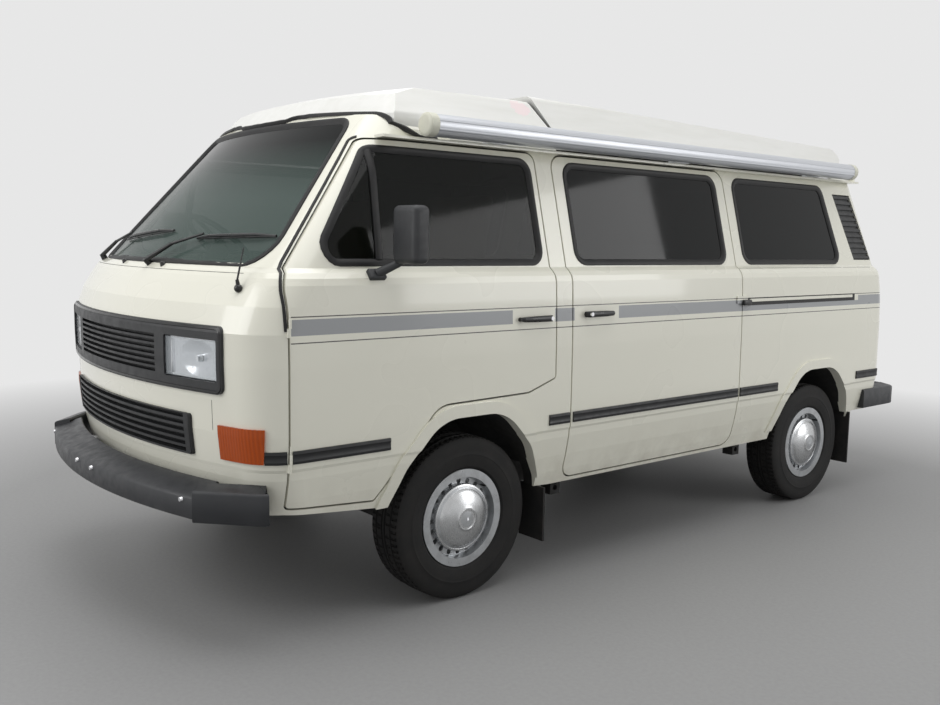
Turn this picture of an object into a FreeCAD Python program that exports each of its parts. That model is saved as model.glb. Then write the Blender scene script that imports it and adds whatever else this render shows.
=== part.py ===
import FreeCAD, Part
import math
import os

from FreeCAD import Vector

# Camper van, millimetres. +Z up, the nose faces -Y, the van's left side is +X.
# The origin is on the ground, on the centre plane, halfway between the bumpers' outer faces.

# Wheels and stance
wheelbase = 2460.0
track = 1570.0
tyre_diameter = 650.0
tyre_width = 185.0
bead_diameter = 352.0
flange_diameter = 389.0
rim_width = 150.0
front_reach = 1168.0  # front axle to the front bumper's face
rear_reach = 942.0  # rear axle to the rear bumper's face

# Body
body_half_width = 926.0
gutter_height = 1785.0
roof_crown = 100.0
rear_crown = 88.0
roof_shoulder_half = 660.0
roof_shoulder_rise = 83.0
roof_turn_half = 716.0
roof_turn_rise = 63.0
roof_edge_half = 756.0
nose_reach = 1055.0  # front axle to the nose panel
tail_reach = 750.0  # rear axle to the rear panel
wall = 40.0
skin = 12.0
roof_wall = 30.0
glass_wall = 6.0
glass_inset = 7.0
door_gap = 7.0
underside_height = 390.0
nose_bottom_height = 475.0
floor_height = 520.0
floor_wall = 30.0
cab_floor_height = 790.0
deck_height = 960.0
cab_bulkhead = 470.0  # behind the front axle
deck_start = 2080.0

# Side openings, measured back from the front axle
door_front = 790.0  # ahead of the front axle
door_rear = 430.0
door_top_height = 1768.0
door_front_low_height = 500.0
door_rear_low_height = 474.0
slide_front = 531.0
slide_rear = 1718.0
slide_low_height = 412.0
window_low_height = 1323.0
window_top_height = 1737.0
window_corner = 55.0
slide_window_front = 600.0
slide_window_rear = 1645.0
rear_window_front = 1800.0
rear_window_rear_top = 2630.0
rear_window_rear_low = 2715.0
cab_window_front_low = 672.0  # ahead of the front axle
cab_window_front_top = 380.0  # ahead of the front axle
cab_window_rear = 395.0
belt_height = 1306.0
pillar_foot_height = 1262.0
pillar_top = 382.0  # ahead of the front axle

# Wheel arches
arch_half_width = 378.0
arch_height = 742.0
rear_arch_height = 748.0
arch_lip_width = 48.0
arch_lip_rise = 9.0
house_wall = 8.0
house_depth = 415.0

# Windscreen, on its own front view
screen_low_height = 1318.0
screen_top_height = 1850.0
screen_half_low = 752.0
screen_half_top = 583.0
screen_corner = 70.0

# Roof
cap_height = 2000.0
cap_half_low = 735.0
cap_half_top = 640.0
cap_front = 402.0  # ahead of the front axle
cap_brow_front = 330.0  # ahead of the front axle
cap_brow_height = 1955.0
cap_top_front = 215.0  # ahead of the front axle
cap_bow = 170.0
cap_corner = 230.0
cap_rear_top = 500.0
cap_rear_low = 590.0
tray_half_width = 430.0
tray_depth = 55.0
tray_front = 60.0  # ahead of the front axle
lid_height = 2024.0
lid_wall = 24.0
lid_gap = 12.0
lid_rear_top = 2900.0
lid_rear_low = 2990.0
lid_rise_share = 0.975
hatch_half_width = 560.0
hatch_front = 700.0
hatch_rear = 2700.0
canvas_height = 60.0
canvas_wall = 45.0

# Tailgate and rear
tailgate_half_width = 715.0
tailgate_half_top = 640.0
tailgate_low_height = 930.0
tailgate_top_height = 1762.0
rear_glass_half_low = 600.0
rear_glass_half_top = 545.0
rear_glass_low_height = 1325.0
rear_glass_top_height = 1690.0

# Bumpers
bumper_half_width = 930.0
bumper_seam_half = 740.0
bumper_low_height = 468.0
bumper_top_height = 583.0
bumper_depth = 150.0
bumper_wall = 20.0
bumper_cap_drop = 16.0  # end caps reach lower than the bar
front_bow = 110.0
front_turn = 273.0
rear_bow = 30.0
rear_turn = 90.0
front_bumper_end = 872.0  # ahead of the front axle
rear_bumper_end = 2960.0

# Lamps and grilles
grille_top_height = 1112.0
grille_low_height = 882.0
grille_half_width = 752.0
grille_rise = 10.0
grille_depth = 22.0
bars_half = 387.0
grille_corner = 28.0
lamp_inner = 446.0
lamp_outer = 728.0
lamp_low_height = 922.0
lamp_top_height = 1066.0
lamp_corner = 9.0
bar_count = 7
low_grille_half = 580.0
low_grille_low_height = 654.0
low_grille_top_height = 800.0
low_bar_count = 6
indicator_inner = 720.0
indicator_low_height = 660.0
indicator_top_height = 778.0
tail_lamp_width = 150.0
tail_lamp_low_height = 640.0
tail_lamp_top_height = 905.0

# Air intakes in the rear pillars
intake_front_top = 2750.0
intake_rear_top = 2935.0
intake_front_low = 2868.0
intake_rear_low = 3060.0
intake_low_height = 1337.0
intake_top_height = 1705.0
slat_count = 12

# Awning
awning_diameter = 84.0
awning_centre_height = 1828.0
awning_centre = 840.0
awning_front = 180.0  # ahead of the front axle
awning_rear = 2820.0
gutter_reach = 46.0
gutter_wall = 10.0

# Running gear
kingpin_offset = 62.0
kingpin_radius = 12.0
axle_pin_radius = 20.0
pin_clearance = 0.05
arm_wall = 34.0
arm_plate = 22.0
upright_half = 85.0  # half the height between the steering arms
eye_radius = 24.0
gearbox_half = 170.0
shaft_gap = 3.0
flap_low_height = 165.0
flap_wall = 10.0
engine_post_half = 30.0
tower_half = 45.0
hinge_pin_radius = 2.2
hinge_eye_radius = 3.3
hinge_length = 60.0
door_pin_rise = 2.0  # hinge axis outside the body's side
gate_pin_radius = 3.0
gate_eye_radius = 6.0
gate_pin_rise = 6.0  # hinge axis behind the body's rear
gate_hinge_half = 230.0
lid_pin_radius = 4.0
lid_eye_radius = 9.0
lid_pin_rise = 2.0
strap_width = 12.0
strap_length = 200.0
slide_hook_low_height = 1124.0
slide_hook_top_height = 1160.0
slide_hook_reach = 45.0
overrun = 400.0

# Seats, controls and mirrors
seat_width = 480.0
bench_depth = 520.0
steering_rim_radius = 190.0
steering_grip_radius = 13.0
steering_hub_radius = 40.0
spoke_width = 34.0
spoke_wall = 10.0
mirror_inner = 945.0
mirror_outer = 1085.0
mirror_front = 405.0  # ahead of the front axle
mirror_rear = 340.0  # ahead of the front axle
mirror_low_height = 1325.0
mirror_top_height = 1525.0
mirror_corner = 18.0
mirror_foot = 440.0  # ahead of the front axle
mirror_foot_half = 30.0
mirror_foot_low_height = 1262.0
mirror_foot_top_height = 1302.0
mirror_arm_radius = 12.0
vent_hole_count = 20
vent_hole_radius = 10.5
vent_circle_radius = 143.5
disc_recess = 31.0  # from the flange's outer face
cap_radius = 131.0
cap_side = 24.0
cap_rise = 36.0

# Wipers
wiper_left = 97.0
wiper_right = -687.0
wiper_height = 1301.0
wiper_arm_reach = 255.0
wiper_arm_rise = 105.0
wiper_blade = 430.0
wiper_wall = 14.0

# Towing eyes, jacking sockets and number plate holes
tow_bore_radius = 20.0
tow_eye_half = 38.0
tow_eye_wall = 18.0
tow_front = 961.0  # ahead of the front axle
tow_rear = 700.0  # behind the rear axle
tow_drop = 52.0
jack_bore_radius = 12.0
jack_half = 28.0
jack_outer = 832.0
jack_inner = 772.0
jack_drop = 34.0
jack_front = 540.0
jack_rear = 1855.0
plate_hole_radius = 3.0
plate_hole_half = 90.0

front_axle = -(front_reach + wheelbase + rear_reach) / 2 + front_reach
rear_axle = front_axle + wheelbase
wheel_radius = tyre_diameter / 2
wheel_centre = track / 2

# Body sections from the sill up: height, half width, nose and tail as shares of the sizes above
section_shares = [
    (0.2150, 0.9330, 0.9200, 0.970), (0.2520, 0.9560, 0.9380, 0.985), (0.2910, 0.9750, 0.9570, 0.992),
    (0.3360, 0.9910, 0.9760, 1.000), (0.3520, 0.9930, 0.9800, 1.000), (0.3580, 0.9990, 0.9820, 1.002),
    (0.4200, 1.0000, 0.9930, 1.003), (0.5490, 0.9990, 1.0000, 1.002), (0.6110, 0.9957, 1.0000, 0.998),
    (0.6610, 0.9920, 0.9690, 0.988), (0.7000, 0.9880, 0.9270, 0.972), (0.7130, 0.9800, 0.9120, 0.966),
    (0.7230, 0.9640, 0.8980, 0.960), (0.7320, 0.9420, 0.8830, 0.953), (1.0000, 0.8121, 0.4580, 0.775),
    (1.0650, 0.7806, 0.3545, 0.732),
]
belt_share = 0.7230
front_radius_low_share = 2.81
front_radius_high_share = 2.376
corner_radius_share = 0.184
corner_radius_top_share = 0.160
rear_radius_share = 10.0
rear_corner_share = 0.112


def lift(axis, a, b, level=0.0):
    if axis == "x":
        return Vector(level, a, b)
    if axis == "y":
        return Vector(a, level, b)
    return Vector(a, b, level)


def unit(axis):
    return {"x": Vector(1, 0, 0), "y": Vector(0, 1, 0), "z": Vector(0, 0, 1)}[axis]


def outline(axis, points, radii=0.0, level=0.0):
    """A flat face with rounded corners. radii is one value or one for each point."""
    count = len(points)
    if not isinstance(radii, (list, tuple)):
        radii = [radii] * count
    places = [lift(axis, a, b, level) for a, b in points]
    edges, starts, ends, arcs = [], [], [], []
    for i, place in enumerate(places):
        before = (places[i - 1] - place)
        after = (places[(i + 1) % count] - place)
        if radii[i] <= 0:
            starts.append(place)
            ends.append(place)
            arcs.append(None)
            continue
        half = before.getAngle(after) / 2
        reach = min(radii[i] / math.tan(half), before.Length / 2.05, after.Length / 2.05)
        radius = reach * math.tan(half)
        first = place + before.normalize() * reach
        last = place + after.normalize() * reach
        middle = (before + after).normalize()
        centre = place + middle * (radius / math.sin(half))
        starts.append(first)
        ends.append(last)
        arcs.append(centre - middle * radius)
    for i in range(count):
        if arcs[i] is not None:
            edges.append(Part.Arc(starts[i], arcs[i], ends[i]).toShape())
        if ends[i].distanceToPoint(starts[(i + 1) % count]) > 0:
            edges.append(Part.LineSegment(ends[i], starts[(i + 1) % count]).toShape())
    return Part.Face(Part.Wire(edges))


def prism(axis, points, start, end, radii=0.0, grow=0.0):
    face = outline(axis, points, radii, start)
    if grow:
        face = face.makeOffset2D(grow)
    return face.extrude(unit(axis) * (end - start))


def box(x, y, z):
    low = Vector(min(x), min(y), min(z))
    return Part.makeBox(max(x) - min(x), max(y) - min(y), max(z) - min(z), low)


def rod(radius, start, end):
    return Part.makeCylinder(radius, (end - start).Length, start, end - start)


def mirrored(shape):
    return shape.mirror(Vector(0, 0, 0), Vector(1, 0, 0))


def both(shape):
    return [shape, mirrored(shape)]


def ring(shares, inset):
    """Plan outline of the body at one level, pulled in by inset."""
    height = shares[0] * gutter_height
    half = shares[1] * body_half_width - inset
    nose = front_axle - shares[2] * nose_reach + inset
    tail = rear_axle + shares[3] * tail_reach - inset
    upper = shares[0] > belt_share
    front_radius = (front_radius_high_share if upper else front_radius_low_share) * body_half_width - inset
    corner = (corner_radius_top_share if shares[0] >= 1 else corner_radius_share) * body_half_width - inset
    rear_radius = rear_radius_share * body_half_width - inset
    rear_corner = rear_corner_share * body_half_width - inset
    front_drop = math.sqrt((front_radius - corner) ** 2 - (half - corner) ** 2)
    side_front = nose + front_radius - front_drop
    corner_x = (half - corner) / (front_radius - corner) * front_radius
    corner_y = nose + front_radius - front_drop / (front_radius - corner) * front_radius
    corner_turn = math.atan2(front_drop, half - corner) / 2
    corner_mid = (half - corner + corner * math.cos(corner_turn),
                  side_front - corner * math.sin(corner_turn))
    rear_drop = math.sqrt((rear_radius - rear_corner) ** 2 - (half - rear_corner) ** 2)
    side_rear = tail - rear_radius + rear_drop
    rear_x = (half - rear_corner) / (rear_radius - rear_corner) * rear_radius
    rear_y = tail - rear_radius + rear_drop / (rear_radius - rear_corner) * rear_radius
    rear_turn = math.atan2(rear_drop, half - rear_corner) / 2
    rear_mid = (half - rear_corner + rear_corner * math.cos(rear_turn),
                side_rear + rear_corner * math.sin(rear_turn))

    def at(x, y):
        return Vector(x, y, height)

    return Part.Wire([
        Part.Arc(at(-corner_x, corner_y), at(0, nose), at(corner_x, corner_y)).toShape(),
        Part.Arc(at(corner_x, corner_y), at(*corner_mid), at(half, side_front)).toShape(),
        Part.LineSegment(at(half, side_front), at(half, side_rear)).toShape(),
        Part.Arc(at(half, side_rear), at(*rear_mid), at(rear_x, rear_y)).toShape(),
        Part.Arc(at(rear_x, rear_y), at(0, tail), at(-rear_x, rear_y)).toShape(),
        Part.Arc(at(-rear_x, rear_y), at(-rear_mid[0], rear_mid[1]), at(-half, side_rear)).toShape(),
        Part.LineSegment(at(-half, side_rear), at(-half, side_front)).toShape(),
        Part.Arc(at(-half, side_front), at(-corner_mid[0], corner_mid[1]),
                 at(-corner_x, corner_y)).toShape(),
    ])


def low_crown(drop):
    """Everything under the roof behind the cab, lowered by drop."""
    edge = section_shares[-2][1] * body_half_width
    spread = body_half_width * 1.2
    slope = rear_crown / edge ** 2
    side = gutter_height + rear_crown - slope * spread ** 2 - drop
    start = lift("y", -spread, side, -front_reach + front_axle - overrun)
    top = lift("y", 0, gutter_height + rear_crown - drop, start.y)
    end = lift("y", spread, side, start.y)
    low_end = lift("y", spread, 0, start.y)
    low_start = lift("y", -spread, 0, start.y)
    face = Part.Face(Part.Wire([
        Part.Arc(start, top, end).toShape(),
        Part.LineSegment(end, low_end).toShape(),
        Part.LineSegment(low_end, low_start).toShape(),
        Part.LineSegment(low_start, start).toShape(),
    ]))
    return face.extrude(Vector(0, wheelbase + front_reach + rear_reach + 2 * overrun, 0))


def crown(drop=0.0):
    """Everything under the roof, which is fuller over the cab, lowered by drop."""
    pull_share = 0.7
    start = front_axle - front_reach - overrun
    length = front_axle - start
    spread = body_half_width * 2

    def at(x, rise):
        return Vector(x, start, gutter_height - drop + rise)

    foot = [Vector(-spread, start, -overrun), Vector(spread, start, -overrun)]
    edge, turn, shoulder = [half - drop * pull_share for half in (roof_edge_half, roof_turn_half,
                                                                  roof_shoulder_half)]
    places = [at(edge, 0), at(turn, roof_turn_rise), at(shoulder, roof_shoulder_rise), at(0, roof_crown)]
    places += [Vector(-place.x, place.y, place.z) for place in places[2::-1]]
    arcs = [Part.Arc(*places[i:i + 3]).toShape() for i in (0, 2, 4)]
    outline = Part.Wire(arcs + [Part.makePolygon([places[-1], at(-spread, 0)] + foot + [at(spread, 0), places[0]])])
    return Part.Face(outline).extrude(Vector(0, length, 0)).fuse(low_crown(drop))


def hull(inset):
    return Part.makeLoft([ring(shares, inset) for shares in section_shares], True, True)


def under_cut():
    """What is cut away below the sills, the nose and the tail."""
    low = -overrun
    points = [(front_axle - front_reach, low), (front_axle - front_reach, nose_bottom_height),
              (front_axle - door_front, nose_bottom_height),
              (front_axle - arch_half_width, nose_bottom_height - wall),
              (front_axle + cab_bulkhead, underside_height),
              (rear_axle - arch_half_width, underside_height),
              (rear_axle + arch_half_width, nose_bottom_height - skin),
              (rear_axle + rear_reach, nose_bottom_height - skin), (rear_axle + rear_reach, low)]
    return prism("x", points, -body_half_width * 2, body_half_width * 2)


def arch(axle, top, start, end, grow=0.0):
    """Wheel arch opening as a tall rounded tunnel across the body."""
    half = arch_half_width
    shoulder = (top - wheel_radius) * 0.62 + wheel_radius
    points = [(axle - half, -overrun), (axle - half, nose_bottom_height - wall),
              (axle - half * 0.82, shoulder), (axle - half * 0.42, top),
              (axle + half * 0.42, top), (axle + half * 0.82, shoulder),
              (axle + half, nose_bottom_height - wall), (axle + half, -overrun)]
    return prism("x", points, start, end,
                 [0, wall * 3, wall * 5, wall * 5, wall * 5, wall * 5, wall * 3, 0], grow)


def cab_door_points():
    f = front_axle
    lip = arch_lip_width
    return [(f - door_front, door_front_low_height), (f - door_front, pillar_foot_height),
            (f - pillar_top, door_top_height),
            (f + door_rear, door_top_height), (f + door_rear, arch_height + lip * 2.4),
            (f + door_rear * 0.66, arch_height + lip * 1.4),
            (f - arch_half_width * 0.46, arch_height + lip * 1.2),
            (f - arch_half_width * 0.93, (arch_height + wheel_radius) / 2 + lip * 1.1),
            (f - arch_half_width - lip * 1.3, door_rear_low_height)]


def cab_door_radii():
    return [skin, wall * 3, wall, wall, skin, wall * 2, wall * 3, wall * 4, skin]


def slide_points():
    f = front_axle
    return [(f + slide_front, slide_low_height), (f + slide_front, door_top_height),
            (f + slide_rear, door_top_height), (f + slide_rear, slide_low_height)]


def cab_window_points():
    f = front_axle
    return [(f - cab_window_front_low, window_low_height), (f - cab_window_front_top, window_top_height),
            (f + cab_window_rear, window_top_height), (f + cab_window_rear, window_low_height)]


def slide_window_points():
    f = front_axle
    return [(f + slide_window_front, window_low_height), (f + slide_window_front, window_top_height),
            (f + slide_window_rear, window_top_height), (f + slide_window_rear, window_low_height)]


def rear_window_points():
    f = front_axle
    return [(f + rear_window_front, window_low_height), (f + rear_window_front, window_top_height),
            (f + rear_window_rear_top, window_top_height), (f + rear_window_rear_low, window_low_height)]


def intake_points():
    f = front_axle
    return [(f + intake_front_low, intake_low_height), (f + intake_front_top, intake_top_height),
            (f + intake_rear_top, intake_top_height), (f + intake_rear_low, intake_low_height)]


def screen_points():
    return [(-screen_half_low, screen_low_height), (-screen_half_top, screen_top_height),
            (screen_half_top, screen_top_height), (screen_half_low, screen_low_height)]


def tailgate_points():
    return [(-tailgate_half_width, tailgate_low_height), (-tailgate_half_width, belt_height),
            (-tailgate_half_top, tailgate_top_height), (tailgate_half_top, tailgate_top_height),
            (tailgate_half_width, belt_height), (tailgate_half_width, tailgate_low_height)]


def rear_glass_points():
    return [(-rear_glass_half_low, rear_glass_low_height), (-rear_glass_half_top, rear_glass_top_height),
            (rear_glass_half_top, rear_glass_top_height), (rear_glass_half_low, rear_glass_low_height)]


far = body_half_width * 1.5
nose_end = front_axle - front_reach - overrun
tail_end = rear_axle + rear_reach + overrun
sky = gutter_height + overrun
cab_reach = front_axle + slide_front - door_gap


forms = {}


def form(inset):
    """The body's outer form pulled in by inset, or swollen where inset is negative."""
    if inset not in forms:
        forms[inset] = hull(inset).common(crown(min(inset, roof_wall)))
    return forms[inset]


def layer(outer, inner, tool):
    """The part of a layer of the body's form that lies inside tool."""
    return form(outer).common(tool).cut(form(inner))


def left_prism(points, radii, grow=0.0):
    """A cutter through the left side only, clear of the floor."""
    tool = prism("x", points, body_half_width * 0.64, far, radii, grow)
    return tool.cut(box((0, body_half_width - wall * 1.7), (nose_end, tail_end), (-overrun, floor_height)))


def body_shell():
    """The whole hollow body with its floor, before it is split into panels."""
    inner = form(wall).cut(box((-far, far), (nose_end, tail_end), (-overrun, floor_height)))
    below = box((-body_half_width * 0.86, body_half_width * 0.86), (nose_end + front_reach * 0.5, tail_end),
                (-overrun, floor_height - floor_wall))
    below = below.common(form(wall))
    shell = form(0).cut(inner).cut(under_cut()).cut(below)
    for axle, top in ((front_axle, arch_height), (rear_axle, rear_arch_height)):
        shell = shell.cut(arch(axle, top, -far, far))
    return shell


def cut_openings(shell):
    """Doors, windows, hatch, tailgate, grilles and intakes."""
    tools = []
    for door, radii in ((cab_door_points(), cab_door_radii()), (slide_points(), wall * 1.5)):
        opening = left_prism(door, radii, door_gap)
        tools.append(opening)
        if door[0][0] < front_axle:
            tools.append(mirrored(opening))
    slide_glass = left_prism(slide_window_points(), window_corner)
    rear_glass = left_prism(rear_window_points(), window_corner)
    intake = left_prism(intake_points(), 0)
    tools += [mirrored(slide_glass)] + both(rear_glass) + both(intake)
    tools.append(prism("y", screen_points(), nose_end, front_axle, screen_corner))
    tools.append(prism("y", tailgate_points(), rear_axle + tail_reach * 0.5, tail_end, wall * 1.5,
                       door_gap))
    hatch = [(-hatch_half_width, front_axle + hatch_front), (hatch_half_width, front_axle + hatch_front),
             (hatch_half_width, front_axle + hatch_rear), (-hatch_half_width, front_axle + hatch_rear)]
    tools.append(prism("z", hatch, gutter_height - wall * 2, sky, wall * 2))
    return shell.cut(tools)


def split_body(shell):
    """Cuts the shell where the real panels meet."""
    nose_box = box((-far, far), (nose_end, front_axle - door_front + door_gap), (-overrun, belt_height))
    for side in (-1, 1):
        nose_box = nose_box.fuse(box((side * (body_half_width - wall * 1.7), side * far),
                                     (nose_end, front_axle - arch_half_width * 0.5),
                                     (-overrun, door_front_low_height - door_gap)))
    frame_box = box((-far, far), (nose_end, cab_reach - slide_front * 0.16), (belt_height, sky))
    frame_box = frame_box.fuse(box((-far, far), (front_axle - door_front + door_gap, front_axle),
                                   (belt_height - wall, belt_height)))
    upper = box((-far, far), (nose_end, tail_end), (door_top_height + door_gap, sky))
    upper = upper.fuse(box((-tailgate_half_top, tailgate_half_top),
                           (rear_axle + tail_reach * 0.5, tail_end),
                           (tailgate_top_height, sky)))
    rear_start = front_axle + intake_rear_low + door_gap
    rear_box = box((-far, far), (rear_start, tail_end), (-overrun, sky))
    half_floor = body_half_width - wall * 1.7
    floor_box = box((-half_floor, half_floor), (nose_end, tail_end), (-overrun, floor_height))
    parts = {}
    parts["roof_frame"] = shell.common(upper.fuse(frame_box))
    rest = shell.cut(upper.fuse(frame_box))
    parts["rear_frame"] = rest.common(rear_box)
    rest = rest.cut(rear_box)
    parts["nose_panel"] = rest.common(nose_box).cut(grille_recesses())
    rest = rest.cut(nose_box)
    parts["floor_pan"] = rest.common(floor_box)
    rest = rest.cut(floor_box)
    parts["side_left"] = rest.common(box((0, far), (nose_end, tail_end), (-overrun, sky)))
    parts["side_right"] = rest.common(box((-far, 0), (nose_end, tail_end), (-overrun, sky)))
    return parts


def arch_lip(axle, top):
    """The raised lip around a wheel arch."""
    outer = arch(axle, top, 0, far, arch_lip_width)
    inner = arch(axle, top, 0, far)
    band = outer.cut(inner).cut(box((0, far), (nose_end, tail_end), (-overrun, nose_bottom_height - wall)))
    return layer(-arch_lip_rise, 0, band)


def wheel_houses(floor):
    """Curved inner arches from the side panels inwards, closed on their inner sides."""
    room = form(wall).common(box((0, far), (nose_end, tail_end), (floor_height - floor_wall, sky)))
    houses = []
    for axle, top in ((front_axle, arch_height), (rear_axle, rear_arch_height)):
        outer = arch(axle, top, house_inner() - house_wall, body_half_width, house_wall)
        space = arch(axle, top, house_inner(), body_half_width + wall)
        houses += both(outer.cut(space).common(room).cut(floor))
    return Part.makeCompound(houses)


def floors(parts):
    """Flat floor, cab floor with its step, and the engine deck with its front wall."""
    deck_y = front_axle + deck_start
    bulkhead_y = front_axle + cab_bulkhead
    cab = box((-far, far), (nose_end, bulkhead_y), (cab_floor_height - floor_wall, cab_floor_height))
    step = box((-far, far), (bulkhead_y - floor_wall, bulkhead_y), (floor_height, cab_floor_height))
    deck = box((-far, far), (deck_y, tail_end), (deck_height - floor_wall, deck_height))
    back = box((-far, far), (deck_y, deck_y + floor_wall), (floor_height, deck_height))
    engine_room = box((-body_half_width * 0.6, body_half_width * 0.6),
                      (deck_y + floor_wall, rear_axle + tail_reach * 0.9), (-overrun, floor_height))
    tunnels = [arch(axle, top, -far, far, house_wall)
               for axle, top in ((front_axle, arch_height), (rear_axle, rear_arch_height))]
    parts["floor_pan"] = parts["floor_pan"].cut(tunnels + [engine_room])
    parts["cab_floor"] = cab.fuse(step).common(form(wall)).cut(tunnels)
    parts["engine_deck"] = deck.fuse(back).common(form(wall)).cut(tunnels)
    parts["wheel_houses"] = wheel_houses(parts["floor_pan"])


def panel(points, radii, inset_gap, window, window_radii):
    """A door: a thin outer skin over a narrower box, with its window cut."""
    outer = layer(0, skin, left_prism(points, radii))
    inner = layer(skin, wall, left_prism(points, radii, -inset_gap))
    door = outer.fuse(inner)
    return door.cut(left_prism(window, window_radii))


def pane(points, radii):
    return layer(glass_inset, glass_inset + glass_wall, left_prism(points, radii))


def door_hinge(heights, sign):
    """Pins on the pillar and eyes on the door, in the gap at the door's front edge."""
    x = hinge_x() * sign
    y = front_axle - door_front - door_gap / 2
    pins, eyes = [], []
    for height in heights:
        low = Vector(x, y, height)
        pins.append(rod(hinge_pin_radius, low, low + Vector(0, 0, hinge_length)))
        foot = rod(hinge_eye_radius, low - Vector(0, 0, hinge_length / 2), low)
        across = (x - sign * door_gap * 2, x)
        leaf = box(across, (y - door_gap, y), (low.z - hinge_length / 2, low.z))
        pins += [foot, leaf]
        start = low + Vector(0, 0, pin_clearance)
        eye = rod(hinge_eye_radius, start, start + Vector(0, 0, hinge_length / 2))
        tab = box(across, (y, y + door_gap), (start.z, start.z + hinge_length / 2))
        bore = rod(hinge_pin_radius + pin_clearance, low - Vector(0, 0, hinge_length),
                   low + Vector(0, 0, hinge_length))
        eyes.append(eye.fuse(tab).cut(bore))
    return pins, eyes


def hinge_x():
    """The cab door's hinge axis, just outside the body's widest section."""
    return section_shares[6][1] * body_half_width + door_pin_rise


def gate_axis():
    """Height and distance back of the tailgate's hinge axis."""
    z = tailgate_top_height + door_gap / 2
    low, high = section_shares[-3], section_shares[-2]
    share = (z / gutter_height - low[0]) / (high[0] - low[0])
    return rear_axle + (low[3] + (high[3] - low[3]) * share) * tail_reach + gate_pin_rise, z


def gate_hinges():
    """Pins on the roof frame and eyes on the tailgate, in the gap between them."""
    y, z = gate_axis()
    pins, eyes = [], []
    for x in (-gate_hinge_half, gate_hinge_half):
        low, middle, high = [Vector(x + side * hinge_length, y, z) for side in (-1, 0, 1)]
        pins += [rod(gate_pin_radius, low, high), rod(gate_eye_radius, low, middle),
                 box((low.x, x), (y - door_gap * 2, y), (z, z + door_gap * 2))]
        start = middle + Vector(pin_clearance, 0, 0)
        eye = rod(gate_eye_radius, start,
                  high).fuse(box((start.x, high.x), (y - door_gap * 2, y), (z - door_gap * 2, z)))
        eyes.append(eye.cut(rod(gate_pin_radius + pin_clearance, low, high + Vector(overrun, 0, 0))))
    return pins, eyes


def lid_axis():
    """Height and distance back of the pop-top lid's hinge axis."""
    return front_axle + lid_rear_low - lid_eye_radius, lid_low_height() + lid_pin_rise


def lid_hinges():
    """Pins on blocks at the gutters' rear ends, and straps on the lid's sides with eyes around them."""
    y, z = lid_axis()
    pins, straps = [], []
    for sign in (1, -1):
        inner, outer = sign * (cap_half_low + lid_pin_rise), sign * (cap_half_low + lid_pin_rise + strap_width)
        block_x = outer + sign * pin_clearance
        end = block_x + sign * strap_width * 2
        pins += [rod(lid_pin_radius, Vector(inner, y, z), Vector(end, y, z)),
                 box((block_x, end), (y - lid_eye_radius, y + lid_eye_radius),
                     (gutter_height, z + lid_eye_radius))]
        strap = box((inner, outer), (y - strap_length, y),
                    (z - lid_eye_radius + lid_pin_rise, z + lid_eye_radius))
        foot = box((sign * (cap_half_low - lid_wall / 2), outer),
                   (y - strap_length, y - strap_length * 0.8),
                   (z, z + lid_eye_radius))
        strap = strap.fuse([foot, rod(lid_eye_radius, Vector(inner, y, z), Vector(outer, y, z))])
        straps.append(strap.cut(rod(lid_pin_radius + pin_clearance, Vector(inner - sign * skin, y, z),
                                    Vector(end, y, z))))
    return pins, straps


def slide_hook():
    """Roller carrier at the sliding door's rear edge, lying on the side panel over the rail."""
    y = front_axle + slide_rear
    tool = box((0, far), (y - slide_hook_reach, y + slide_hook_reach),
               (slide_hook_low_height, slide_hook_top_height))
    return layer(-skin / 2, 0, tool)


def tow_eye(y, underside):
    """Plate under the body with a cross bore for a towing shackle."""
    z = underside - tow_drop
    plate = box((-tow_eye_wall / 2, tow_eye_wall / 2), (y - tow_eye_half, y + tow_eye_half), (z, underside))
    plate = plate.fuse(rod(tow_eye_half, Vector(-tow_eye_wall / 2, y, z), Vector(tow_eye_wall / 2, y, z)))
    return plate.cut(rod(tow_bore_radius, Vector(-tow_eye_wall, y, z), Vector(tow_eye_wall, y, z)))


def jack_sockets():
    """Blocks under the sills, each with a bore that opens outwards."""
    blocks = []
    z = underside_height - jack_drop
    for y in (front_axle + jack_front, front_axle + jack_rear):
        block = box((jack_inner, jack_outer), (y - jack_half, y + jack_half),
                    (z - jack_half, underside_height))
        block = block.cut(rod(jack_bore_radius, Vector(jack_inner + skin, y, z),
                              Vector(jack_outer + skin, y, z)))
        blocks += both(block)
    return blocks


def plate_holes(face, way, low, high):
    """Cutters for the number plate's two screws in a bumper."""
    z = (low + high) / 2
    return [rod(plate_hole_radius, Vector(x, face + way * skin, z),
                Vector(x, face - way * bumper_depth * 0.3, z))
            for x in (-plate_hole_half, plate_hole_half)]


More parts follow.
